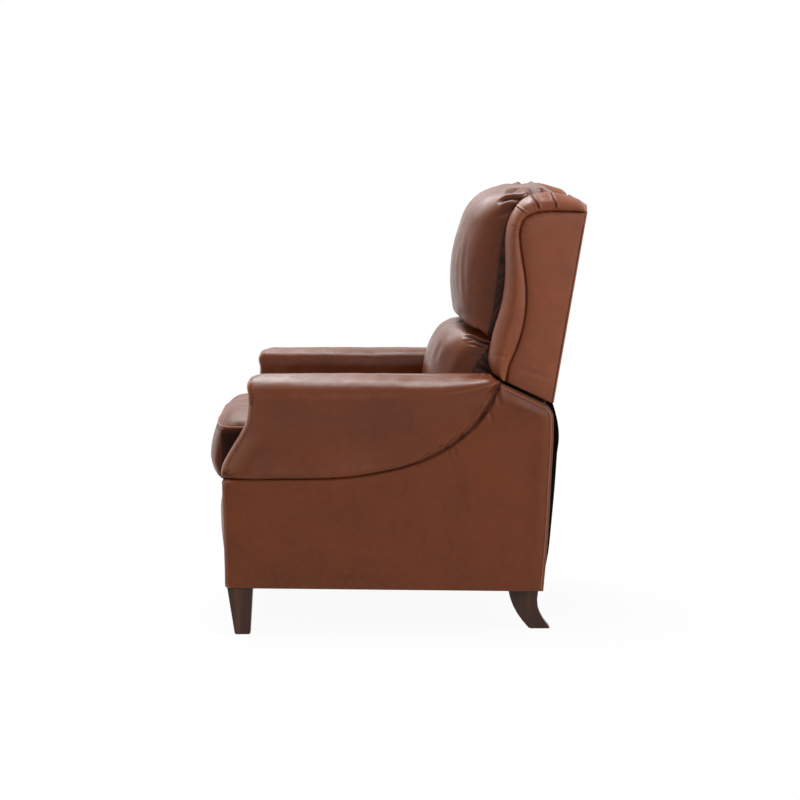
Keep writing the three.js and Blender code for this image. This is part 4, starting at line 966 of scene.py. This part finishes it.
# pleats across the roll and soft dents in the flat side, in (Y, Z)
wingFolds = [
    fold([(312, 1029), (318, 1023), (326, 1009), (333, 991)], 1.9, 4.6, fadeIn=0.05, fadeOut=0.12, dark=1.0),
    fold([(362, 1033), (366, 1022), (370, 1007), (372, 992)], 1.8, 4.2, fadeIn=0.05, fadeOut=0.12, dark=1.0),
    fold([(282, 1001), (296, 991), (311, 980)], 1.6, -1.8, fadeIn=0.05, dark=0.0),
    fold([(279, 999), (293, 989), (308, 978)], 1.3, 2.0, fadeIn=0.05, dark=0.6),
    fold([(266, 963), (273, 958), (281, 950)], 1.2, -1.3, dark=0.0),
    fold([(264, 956), (272, 954), (284, 956)], 1.2, 1.6, dark=0.25),
    fold([(267, 946), (275, 948), (285, 944)], 1.2, -1.2, dark=0.0),
    fold([(226, 650), (240, 655), (262, 648)], 4.0, 1.0, dark=0.1),
    fold([(272, 618), (312, 616), (356, 606)], 5.0, 1.0, dark=0.1),
]


def shrinking(row, shares, way):
    # the end row drawn in towards its middle, and 5 mm on along a direction
    centre = row.mean(0)
    return np.array([centre + (row - centre) * t + np.array(way) * (1 - t) * 5 for t in shares])


def makeWing(word, side):
    stations = 260
    outline = evenly(throughPoints(wing["outline"]), stations)
    seam = evenly(throughPoints(wing["seam"]), stations)
    rear = evenly([backPoint(11, 3.0), backPoint(462, 3.0)], stations)
    low, high = wing["innerX"], wing["outerX"]
    mid = (high + low) / 2
    profile = throughPoints(wing["roll"], 4)
    flatSide = np.array(wing["flat"])
    lean = np.array((-math.cos(backLean), math.sin(backLean)))
    rows = []
    for k in range(stations):
        s, o, e = seam[k], outline[k], rear[k]
        flat = [(high + x, *(e + (s - e) * t + lean * d)) for t, x, d in flatSide]
        outer = [(high + x, *(s + (o - s) * t)) for t, x in profile]
        inner = [(low + max(0.4, -x) if x > -30 else 2 * mid - high - x, *(s + (o - s) * t))
                 for t, x in profile[-2::-1]]
        back = [(low + 0.4, *(e + (s - e) * t + lean * max(d, 8.0 * (t < 0.01)))) for t, x, d in flatSide[::-1]]
        rows.append(np.array(flat[:-1] + outer + inner + back[1:]))
    grid = np.array(rows)
    inside = grid[:, :, 0] < mid
    grid[:, :, 0] = np.where(inside, np.maximum(grid[:, :, 0], low + 0.4), grid[:, :, 0])
    bottom = shrinking(grid[0], (0.02, 0.4, 0.75, 0.93), (0, -0.2, -0.5))
    top = shrinking(grid[-1], (0.93, 0.75, 0.4, 0.02), (0, 0.5, -0.2))
    grid = np.vstack([bottom, grid, top])
    normals = gridNormals(grid, closed=True)
    if normals[20:200, 6, 0].mean() < 0:
        normals = -normals
    shape = grid.shape[:2]
    points, normals = grid.reshape(-1, 3).copy(), normals.reshape(-1, 3)
    crease = np.zeros(len(points))
    seamGap, seamAlong = toLine(points[:, 1:], seam[::3])
    edgeGap, _ = toLine(points[:, 1:], outline[::3])
    outer = points[:, 0] > 297
    # painted shade in the roll's seam and along the rear edge
    crease = np.maximum(crease, bell(seamGap, 1.15) * outer)
    crease = np.maximum(crease, 0.2 * bell(seamGap, 4.5) * outer)
    points[:, 0] += np.where(outer, 0.9 * cloud(points, 170, 61 + side) + 0.3 * cloud(points, 60, 62), 0)
    rearGap, _ = toLine(points[:, 1:], rear[::20])
    crease = np.maximum(crease, 0.8 * smooth(2.2 - rearGap, 0, 1.2) * outer)
    # small gathers across the seam on the rolled side, strongest round the top
    run = seamAlong * 640
    gather = np.sin(run / 4.6 + 2.4 * np.sin(run / 37.0) + 1.3 * np.sin(run / 17.0))
    amount = 0.35 + 0.65 * smooth(seamAlong, 0.55, 0.66) * smooth(1 - seamAlong, 0, 0.1)
    points[:, 0] += np.where(outer & (edgeGap < 60), 0.7 * gather * np.exp(-seamGap / 7) * amount, 0)
    creases(points, normals, crease, wingFolds, when=outer)
    inside = points[:, 0] < low + 0.4
    points[inside, 0] = low + 0.4
    # painted highlight: lighter along the roll's outer edge and a little over the whole outer face
    worn = 0.08 * bell(edgeGap - 8, 9) + 0.06 * outer
    piece = makeCover(word + "_wing_leather", leatherRollLit, shape, points, crease, worn, side)
    settle(piece, "back", "leather", word + "_wing", fill=0.8)
    seams = Form(word + "_wing_stitches", thread, side)
    inner = evenly(throughPoints(wing["seam"], 10), 220)[6:-8]
    rearward = inset(inner, -4.5)
    pick = points[points[:, 0] > 325]
    addStitches(seams, onSide(rearward, pick, lift=0.1), radius=0.45)
    attach(seams.build(), piece)


# cushions

stuffing = {
    "use_pressure": True, "uniform_pressure_force": 2.0, "quality": 5, "mass": 0.4, "tension_stiffness": 12.0,
    "compression_stiffness": 12.0, "shear_stiffness": 4, "bending_stiffness": 0.6, "vertex_group_mass": "held",
    "pin_stiffness": 1.0,
}
clothFrames = 20


def swell(piece, pinned, slack, cap):
    # a short cloth run puffs the cover up; pinned points stay on their seams
    before = np.array([v.co for v in piece.data.vertices])
    group = piece.vertex_groups.new(name="held")
    for k, share in enumerate(pinned):
        if share > 0.01:
            group.add([k], float(share), "REPLACE")
    cloth = piece.modifiers.new("stuffing", "CLOTH")
    cloth.settings.effector_weights.gravity = 0
    for key, value in stuffing.items():
        setattr(cloth.settings, key, value)
    cloth.settings.shrink_min = slack
    cloth.settings.shrink_max = slack
    cloth.point_cache.frame_start, cloth.point_cache.frame_end = 1, clothFrames
    for k in range(1, clothFrames + 1):
        scene.frame_set(k)
    depsgraph = bpy.context.evaluated_depsgraph_get()
    after = np.array([v.co for v in piece.evaluated_get(depsgraph).data.vertices])
    piece.modifiers.remove(cloth)
    scene.frame_set(1)
    step = after - before
    far = np.linalg.norm(step, axis=1, keepdims=True)
    step *= np.minimum(1.0, cap * mm / np.maximum(far, 1e-9))
    piece.data.vertices.foreach_set("co", (before + step).reshape(-1))
    piece.data.update()


def padGrid(middle, side, halfWidth, drawIn, stations, steps, sharp=4.0, ends=9, bulge=3.0):
    # a stuffed form: a closed outline that swells from the sides to the middle of the width
    middleLoop = throughPoints(middle, steps, closed=True)
    sideLoop = throughPoints(side, steps, closed=True)
    u = np.linspace(-1, 1, stations)
    across = np.sin(u * math.pi / 2)
    rows = []
    for a in across:
        share = max(0.0, 1 - abs(a) ** sharp) ** 0.5
        line = sideLoop + (middleLoop - sideLoop) * share
        waist = drawIn * math.sin(math.pi * (a + 1) / 2)
        rows.append(np.column_stack([np.full(len(line), a * (halfWidth - waist)), line]))
    centre = sideLoop.mean(0)
    shares = np.linspace(0.03, 0.96, ends)
    low = np.array([np.column_stack([np.full(len(sideLoop), -halfWidth - bulge * (1 - s ** 2)),
                                     centre + (sideLoop - centre) * s]) for s in shares])
    high = low[::-1].copy()
    high[:, :, 0] *= -1
    return np.vstack([low, np.array(rows), high])


pillow = {
    "frontY": 131.0, "depth": 269.0, "bottomZ": 712.0, "height": 335.0, "halfWidth": 250.0, "drawIn": 3.0,
    "frontMiddle": [(.28, .02), (.18, .006), (.08, .024), (.028, .1), (0, .29), (.02, .46), (.075, .65),
                    (.15, .81), (.28, .912), (.46, .968), (.66, .977), (.88, .95)],
    # the cover wraps round to its side seam just in front of the wings
    "frontSide": [(.46, -.065), (.375, -.085), (.335, -.06), (.36, .05), (.40, .29), (.425, .46), (.46, .63),
                  (.51, .77), (.57, .86), (.66, .915), (.78, .925), (.9, .91)],
    "rearMiddle": [(396, 1000), (397, 960), (386, 880), (372, 800), (352, 745), (300, 722)],
    "rearSide": [(396, 990), (397, 960), (386, 880), (372, 800), (352, 745), (302, 700)],
    "steps": 10, "sharp": 2.7, "heldBehind": 330, "cap": 5.0, "fill": 0.7, "seed": 71,
}
# folds drawn to the top of the side seam, in (X, Y, Z)
pillowFolds = [
    fold([(247, 325, 1026), (190, 326, 1030), (135, 325, 1035), (95, 317, 1038)], 7.5, 10.0, fadeIn=0.05,
         dark=0.9),
    fold([(112, 322, 1037), (108, 305, 1038), (140, 290, 1034), (195, 274, 1030), (216, 260, 1021)], 7.5, 7.0,
         dark=0.5),
    fold([(250, 303, 1002), (247, 291, 1014), (240, 276, 1019), (233, 262, 1017), (226, 250, 1010),
         (222, 238, 1002)], 6.5, 9.0, fadeIn=0.04, dark=0.95),
    fold([(250, 290, 994), (250, 270, 988), (243, 250, 980), (236, 234, 970)], 6.0, 3.5, fadeIn=0.1, dark=0.3),
    fold([(247, 326, 1026), (234, 336, 1028), (220, 347, 1029), (200, 364, 1028)], 4.5, 5.5, fadeIn=0.04,
         dark=0.9),
    fold([(247, 327, 1027), (205, 338, 1031), (150, 345, 1035)], 5.0, 5.0, fadeIn=0.05, dark=0.6),
    fold([(251, 234, 690), (240, 214, 700), (224, 196, 716)], 5.0, 3.0, fadeIn=0.04, dark=0.5),
]
# soft upright lines down its front, in (Y, Z)
pillowLines = [
    fold([(152, 912), (143, 850), (143, 800), (152, 760)], 3.5, 1.2, dark=0.12),
    fold([(164, 936), (153, 860), (153, 800), (160, 752)], 3.5, 1.4, dark=0.12),
    fold([(178, 950), (166, 880), (164, 820), (170, 748)], 4.0, 1.2, dark=0.10),
]

lumbar = {
    "frontY": 66.0, "depth": 180.0, "bottomZ": 497.0, "height": 222.0, "halfWidth": 250.0, "drawIn": 3.0,
    "frontMiddle": [(.12, 0), (.045, .08), (.01, .2), (0, .36), (.03, .52), (.1, .7), (.2, .84), (.32, .93),
                    (.48, .965)],
    "frontSide": [(.62, .02), (.57, .09), (.55, .2), (.58, .36), (.66, .5), (.76, .63), (.86, .72), (.95, .765),
                  (1.07, .78)],
    "rearMiddle": [(250, 711), (330, 690), (335, 620), (330, 560), (318, 520), (250, 500)],
    "rearSide": [(290, 684), (330, 670), (335, 620), (330, 560), (318, 520), (250, 500)],
    "steps": 9, "sharp": 2.8, "heldBehind": 250, "cap": 4.0, "topZ": 715, "fill": 0.65, "seed": 81,
}
lumbarFolds = [
    fold([(246, 224, 672), (243, 208, 677), (238, 198, 682), (230, 188, 685), (218, 174, 688), (206, 158, 685)],
         3.6, 6.0, fadeIn=0.02, dark=1.0),
    fold([(246, 214, 670), (239, 197, 677), (228, 182, 678), (220, 166, 679)], 2.4, 2.6, fadeIn=0.04, dark=0.5),
    fold([(246, 206, 664), (238, 190, 668), (228, 174, 667)], 2.6, 1.8, fadeIn=0.04, dark=0.25),
]
lumbarLines = [
    fold([(112, 694), (92, 660), (80, 620)], 3.4, 1.3, dark=0.14),
    fold([(126, 692), (106, 654), (94, 610)], 3.4, 1.3, dark=0.14),
]

seat = {
    "frontY": -446.0, "depth": 523.0, "bottomZ": 350.3, "height": 168.0, "halfWidth": 255.0, "drawIn": 4.0,
    "weltZ": 475.5,
    "bottomMiddle": [(.006, .16), (.02, .07), (.07, 0), (.5, 0), (.98, 0), (1.01, .06)],
    "topMiddle": [(0, .28), (.008, .5), (.04, .76), (.1, .95), (.2, 1), (.5, .97), (.9, .83), (1.018, .76)],
    "bottomSide": [(.072, .1), (.08, .03), (.12, 0), (.5, 0), (.98, 0), (1.01, .06)],
    "topSide": [(.068, .24), (.068, .45), (.072, .68), (.1, .735), (.2, .745), (.5, .745), (.9, .72),
                (1.015, .66)],
}


def share2d(part, points):
    # shares of the part's depth and height as places in (Y, Z)
    return [(part["frontY"] + a * part["depth"], part["bottomZ"] + b * part["height"]) for a, b in points]


def puffUp(grid, held, cap, limit, slack, evened=10):
    # runs the cloth on a cover made from the grid and reads the points back
    shape = grid.shape
    form = Form("cover", leather)
    form.add(grid, closed=True)
    mesh = bpy.data.meshes.new("cover")
    mesh.from_pydata((np.vstack(form.points) * mm).tolist(), [], form.faces)
    cover = bpy.data.objects.new("cover", mesh)
    scene.collection.objects.link(cover)
    swell(cover, held.reshape(-1), slack, cap)
    step = np.array([v.co for v in mesh.vertices]).reshape(shape) / mm - grid
    bpy.data.objects.remove(cover)
    # the stuffing evens out the smallest ripples
    for _ in range(evened):
        step = (np.roll(step, 1, axis=1) + 2 * step + np.roll(step, -1, axis=1)) / 4
        step[1:-1] = (step[:-2] + 2 * step[1:-1] + step[2:]) / 4
    moved = grid + step
    moved[:, :, 0] = np.clip(moved[:, :, 0], -limit, limit)
    return moved


def outwardNormals(grid):
    normals = gridNormals(grid, closed=True)
    middle = grid.reshape(-1, 3).mean(0)
    if ((grid - middle) * normals).sum() < 0:
        normals = -normals
    return normals


def dressPad(name, grid, ends, folds, lines, seed, fill):
    # side seams with their gathers, folds and a little unevenness, painted shade at the seams and the ends, then
    # the finished piece
    normals = outwardNormals(grid)
    shape = grid.shape[:2]
    rows = np.repeat(np.arange(shape[0])[:, None], shape[1], 1)
    fromSeam = np.minimum(np.abs(rows - ends), np.abs(rows - (shape[0] - 1 - ends))).reshape(-1)
    run = np.repeat(runAlong(grid[ends])[None], shape[0], 0).reshape(-1)
    points, normals = grid.reshape(-1, 3).copy(), normals.reshape(-1, 3)
    crease = np.zeros(len(points))
    points += normals * (1.3 * cloud(points, 130, seed) + 0.35 * cloud(points, 48, seed + 1))[:, None]
    aside = np.abs(points[:, 0])
    for way in ((1, 1, 1), (-1, 1, 1)):
        mirrored = points * way
        creases(mirrored, normals * way, crease, folds, plane=(0, 1, 2), when=mirrored[:, 0] > 60)
        creases(mirrored, normals * way, crease, lines, when=mirrored[:, 0] > 120)
        points = mirrored * way
    end = aside.max() - aside
    gather = np.sin(run / 3.9 + 2.6 * np.sin(run / 31) + 1.7 * np.sin(run / 13)) * np.exp(-end / 7) * (end < 40)
    points += normals * (0.9 * gather)[:, None]
    seam = bell(fromSeam, 0.9)
    points -= normals * (2.2 * seam)[:, None]
    # painted shade: the side seams, a band inside them and the ends beyond them are darkened, towards the wings
    crease = np.maximum(crease, 0.85 * seam)
    crease = np.maximum(crease, 0.3 * np.exp(-end / 18) * (end < 70))
    beyond = ((rows < ends) | (rows > shape[0] - 1 - ends)).reshape(-1)
    tucks = gathered(run, 5.1, 2.2, 23) * beyond
    points += normals * (0.8 * tucks)[:, None]
    crease = np.maximum(crease, np.where(beyond, 0.78 - 0.16 * tucks, 0.0))
    points[:, 0] = np.clip(points[:, 0], -255.0, 255.0)
    piece = makeCover(name + "_leather", leatherSoft, shape, points, crease)
    settle(piece, "back", "leather", name, fill=fill)


def makePad(name, part, folds, lines):
    middle = share2d(part, part["frontMiddle"]) + part["rearMiddle"]
    aside = share2d(part, part["frontSide"]) + part["rearSide"]
    ends = 9
    grid = padGrid(middle, aside, part["halfWidth"], part["drawIn"], 120, part["steps"], part["sharp"], ends)
    rows = np.arange(grid.shape[0])[:, None]
    atEnds = (rows <= ends + 1) | (rows >= grid.shape[0] - 2 - ends)
    held = np.where(atEnds | (grid[:, :, 1] > part["heldBehind"]), 1.0, 0.0)
    grid = puffUp(grid, held, cap=part["cap"], limit=254.5, slack=-0.012)
    if "topZ" in part:
        grid[:, :, 2] = np.minimum(grid[:, :, 2], part["topZ"])
    dressPad(name, grid, ends, folds, lines, part["seed"], part["fill"])


def makeSeat():
    middle = share2d(seat, seat["topMiddle"] + seat["bottomMiddle"][::-1])
    aside = share2d(seat, seat["topSide"] + seat["bottomSide"][::-1])
    ends = 22
    grid = padGrid(middle, aside, seat["halfWidth"], seat["drawIn"], 130, 16, sharp=4.0, ends=ends, bulge=1.0)
    shape = grid.shape[:2]
    rows = np.arange(shape[0])[:, None]
    weltZ = seat["weltZ"]
    atWelt = (np.abs(grid[:, :, 2] - weltZ) < 3) & ((grid[:, :, 1] < -395) | (np.abs(grid[:, :, 0]) > 250))
    held = np.where((rows <= ends) | (rows >= shape[0] - 1 - ends) | (grid[:, :, 2] < 356) | atWelt, 1.0, 0.0)
    grid = puffUp(grid, held, cap=4.0, limit=258, slack=-0.006, evened=16)
    normals = outwardNormals(grid)
    points, normals = grid.reshape(-1, 3).copy(), normals.reshape(-1, 3)
    crease = np.zeros(len(points))
    points += normals * (1.2 * cloud(points, 150, 91) + 0.3 * cloud(points, 50, 92))[:, None]
    points[:, 2] = np.maximum(points[:, 2], 350.4)
    aside = np.abs(points[:, 0])
    onBand = np.where((aside > 238) | (points[:, 1] < -398), 1.0, 0.0)
    line = bell(points[:, 2] - weltZ, 2.2) * onBand
    second = bell(points[:, 2] - weltZ + 8.5, 1.3) * onBand
    points -= normals * (1.6 * line + 1.1 * second)[:, None]
    # painted shade in the welt's groove and the stitch line below it
    crease = np.maximum(crease, 0.6 * line)
    crease = np.maximum(crease, 0.8 * second)
    below = smooth(weltZ - 3 - points[:, 2], 0, 14)
    # the side band draws in under the welt and lies in the gap beside the arm, where it is darkened with painted
    # shade
    inGap = smooth(points[:, 1], -438, -396) * smooth(aside, 226, 252)
    points[:, 0] -= np.sign(points[:, 0]) * 3.5 * below * inGap
    crease = np.maximum(crease, 0.85 * below * inGap)
    pucker = gathered(points[:, 0], 4.4, 2, 29) * (points[:, 1] < -380)
    pucker += gathered(points[:, 1], 4.4, 2, 33) * (aside > 244)
    points += normals * (0.5 * pucker * np.exp(-np.abs(points[:, 2] - weltZ) / 7) * onBand)[:, None]
    # painted sheen: the seat's top is lighter above the welt
    worn = 0.08 * smooth(points[:, 2], 478, 492)
    piece = makeCover("seat_cushion_leather", leatherSeat, shape, points, crease, worn)
    settle(piece, "seat", "leather", "seat_cushion", fill=0.75)

    trim = Form("seat_cushion_piping", leatherCord)
    grid = points.reshape(*shape, 3)
    path = []
    for row in range(ends + 2, shape[0] - ends - 2):
        line = grid[row]
        ahead = line[(line[:, 1] < -380) & (line[:, 2] > 440) & (line[:, 2] < 500)]
        order = np.argsort(ahead[:, 2])
        path.append([np.interp(weltZ, ahead[order, 2], ahead[order, k]) for k in range(3)])
    path = np.array(path)
    sideRun = evenly([(-394, weltZ), (52, weltZ - 3)], 90)
    tail = np.column_stack([np.full(90, 254.5), sideRun])
    head = tail[::-1] * (-1, 1, 1)
    whole = np.vstack([head[:-2], path + np.array((0, -1.0, 0.6)), tail[2:]])
    whole = evenly(throughPoints(evenly(whole, 120), 6), 620)
    addTube(trim, whole, 2.6, worn=0.85)
    attach(trim.build(), piece)


# footrest

footrest = {"halfWidth": 249.5, "lowZ": 151.0, "highZ": 339.5, "boardY": -369.4, "facing": -1, "thick": 33.0,
            "crown": 19.0, "fill": 0.5, "seed": 111}
flipper = {"halfWidth": 211.5, "lowZ": 236.5, "highZ": 325.5, "boardY": -309.4, "facing": 1, "thick": 16.5,
           "crown": 6.5, "fill": 0.4, "seed": 121}


def padBoard(body, part):
    # a flat pad on a board: crowned face, rolled edges, flat back
    halfWidth, lowZ, highZ, boardY = part["halfWidth"], part["lowZ"], part["highZ"], part["boardY"]
    facing, seed = part["facing"], part["seed"]
    columns, rows = 150, 66
    u = np.linspace(-1, 1, columns)
    v = np.linspace(0, 1, rows)
    x, z = np.meshgrid(u * halfWidth, lowZ + v * (highZ - lowZ))
    inX, inZ = halfWidth - np.abs(x), np.minimum(z - lowZ, highZ - z)
    gap = np.minimum(inX, inZ)
    r = 13.0
    rim = r * edgeRoll(gap, r)
    cushion = part["crown"] * np.clip(1 - (np.abs(x) / halfWidth) ** 2, 0, 1) ** 0.5
    cushion = cushion * np.sin(np.pi * v)[:, None] ** 0.5
    y = boardY + facing * (part["thick"] - rim + cushion)
    grid = np.stack([x, y, z], -1)
    points = grid.reshape(-1, 3)
    flatGap = gap.reshape(-1)
    uneven = 1.0 * cloud(points, 90, seed) + 0.4 * cloud(points, 30, seed + 1)
    points[:, 1] += facing * uneven * smooth(flatGap, 0, 25)
    pucker = np.sin(points[:, 0] / 5.5 + 2 * cloud(points[:, :1], 60, seed + 2)) * np.exp(-flatGap / 10)
    points[:, 1] += facing * 0.9 * pucker * smooth(flatGap, 1, 5)
    line = bell(flatGap - 13, 1.8)
    points[:, 1] -= facing * 1.6 * line
    form = Form(body + "_pad_leather", leather)
    # painted shade in the groove of the stitched line
    index = form.add(grid, (0.5 * line).reshape(rows, columns), 0.15)
    turnIn(form, index, 1, [boardY + facing * (part["thick"] - r) * share for share in (0.5, 0.05)])
    piece = form.build()
    settle(piece, body, "leather", body + "_pad", fill=part["fill"])
    seams = Form(body + "_pad_leather_stitches", thread)
    w, h = halfWidth - r, (highZ - lowZ) / 2 - r
    mid = (highZ + lowZ) / 2
    path = [(px, 0, mid + pz) for px, pz in roundCorners([(-w, -h), (w, -h), (w, h), (-w, h), (-w, -h)], 60)]
    addStitches(seams, onSurface(path, points, axis=1), out=(0, facing, 0), lift=0.5)
    attach(seams.build(), piece)


# outside back and flaps

outsideBack = {"halfWidth": 330.5, "low": 10.5, "high": 476.0, "puff": 5.0}


def cornerDrop(across, up):
    # its top corners are rounded to the wings
    return 14 * smooth(np.abs(across), 270, 326) * smooth(up, 300, outsideBack["high"])


def makeOutsideBack():
    columns, rows = 170, 120
    u = np.linspace(-1, 1, columns)
    v = np.linspace(0, 1, rows)
    half, low, high = outsideBack["halfWidth"], outsideBack["low"], outsideBack["high"]
    across, up = np.meshgrid(u * half, low + v * (high - low))
    gap = np.minimum(half - np.abs(across), np.minimum(up - low, high - up))
    r = 6.0
    rim = r * edgeRoll(gap, r)
    wide = cloud(np.column_stack([across.reshape(-1), up.reshape(-1)]), 240, 101).reshape(rows, columns)
    fine = cloud(np.column_stack([across.reshape(-1), up.reshape(-1)]), 60, 102).reshape(rows, columns)
    up = up - cornerDrop(across, up)
    pad = outsideBack["puff"] * (1 - np.exp(-gap / 40)) + (1.2 * wide + 0.4 * fine) * smooth(gap, 0, 40)
    line = bell(gap - 11, 1.8)
    gather = gathered(across, 6, 2, 41) * np.exp(-(high - up) / 14) * smooth(gap, 2, 9)
    out = -(pad - rim - 1.4 * line + 0.8 * gather)
    grid = np.stack([across, *backPoint(up, out)], -1)
    form = Form("outside_back_leather", leather)
    # painted shade in the groove of the stitched line
    index = form.add(grid, 0.45 * line, 0.1)
    base = np.vstack(form.points)[rimOf(index)]
    inward = np.array((0, -math.cos(backLean), math.sin(backLean)))
    closeRim(form, [base, base + inward * 2.0, base + inward * 4.0], 0.1)
    # the cover is turned in over the top, towards the head pillow
    stripX = np.linspace(-246, 246, 90)
    rolled = []
    for forward, drop in ((2, 2.5), (6, 1.0), (14, 1.5), (22, 4), (27, 9), (28, 16), (27, 24), (23, 24),
                          (23, 16), (22, 10), (18, 6.5), (12, 5), (6, 5), (2, 6)):
        height = high - drop + 0.8 * gathered(stripX, 7, 2, 37)
        rolled.append(np.column_stack([stripX, *backPoint(height, forward)]))
    strip = form.add(np.array(rolled + [rolled[0]]), 0.15, 0.1)
    form.close(strip[:-1, 0])
    form.close(strip[:-1, -1])
    piece = form.build()
    settle(piece, "back", "leather", "outside_back", fill=0.3)
    trim = Form("outside_back_piping", leatherCord)
    w = half - 2
    for path in ([(-w, 12), (-w, high)], [(-w, high), (w, high)], [(w, high), (w, 12)], [(-w, 12.5), (w, 12.5)]):
        line = [(x, *backPoint(h - cornerDrop(x, h), 0.5)) for x, h in evenly(path, 120)]
        addTube(trim, line, 2.4)
    attach(trim.build(), piece)
    seams = Form("outside_back_stitches", thread)
    w = half - 11
    path = roundCorners([(-w, 22), (-w, 466), (w, 466), (w, 22), (-w, 22)], 90)
    laid = onSurface(np.array([(x, 0, backPoint(h, 0)[1]) for x, h in path]), grid.reshape(-1, 3), axis=1)
    addStitches(seams, laid, out=(0, math.cos(backLean), -math.sin(backLean)), lift=0.5)
    attach(seams.build(), piece)


flaps = {
    "upper": {"halfWidth": 336.0, "line": [backPoint(9.0, 0.0), (374.6, 516), (380, 488), (381.6, 458),
                                           (377, 420)], "thick": 1.6, "wave": 1.2, "body": "back"},
    "lower": {"halfWidth": 343.0, "line": [(348.2, 107), (348.4, 138), (354, 165), (358.6, 190), (366.6, 270),
                                           (372.6, 340), (378.2, 424)],
              "thick": 1.6, "wave": 0.8, "body": "base"},
}


def makeFlap(word, seed):
    look = flaps[word]
    columns, rows = 130, 60
    line = evenly(throughPoints(look["line"], 14), rows)
    x = np.linspace(-look["halfWidth"], look["halfWidth"], columns)
    grid = np.zeros((rows, columns, 3))
    for k, (y, z) in enumerate(line):
        free = math.sin(math.pi * (k / (rows - 1)) * 0.5)
        fall = np.sin(x / 47 + 1.7 * np.sin(x / 130) + seed)
        grid[k] = np.column_stack([x, y + look["wave"] * fall * free, np.full(columns, z)])
    form = Form("rear_flap_" + word + "_cloth", lining)
    normals = gridNormals(grid)
    if normals[:, :, 1].mean() < 0:
        normals = -normals
    ringA = rimOf(form.add(grid))
    ringB = rimOf(form.add(grid - normals * look["thick"]))
    for k in range(len(ringA)):
        m = (k + 1) % len(ringA)
        form.close([ringA[k], ringA[m], ringB[m], ringB[k]])
    piece = form.build(merge=0.01)
    run = np.linalg.norm(np.diff(line, axis=0), axis=1).sum()
    settle(piece, look["body"], "lining", "rear_flap_" + word)
    return piece, (2 * look["halfWidth"] * mm, float(run) * mm)


# build

for word, side in sides:
    makePanel(word, side)
    makeArm(word, side)
    makeWing(word, side)
print("panels, arms and wings made")
makePad("head_pillow", pillow, pillowFolds, pillowLines)
makePad("lumbar_cushion", lumbar, lumbarFolds, lumbarLines)
makeSeat()
print("cushions made")
padBoard("footrest", footrest)
padBoard("flipper", flipper)
makeOutsideBack()
upper, upperFlat = makeFlap("upper", 1.0)
lower, lowerFlat = makeFlap("lower", 2.3)
print("footrest pads, outside back and flaps made")
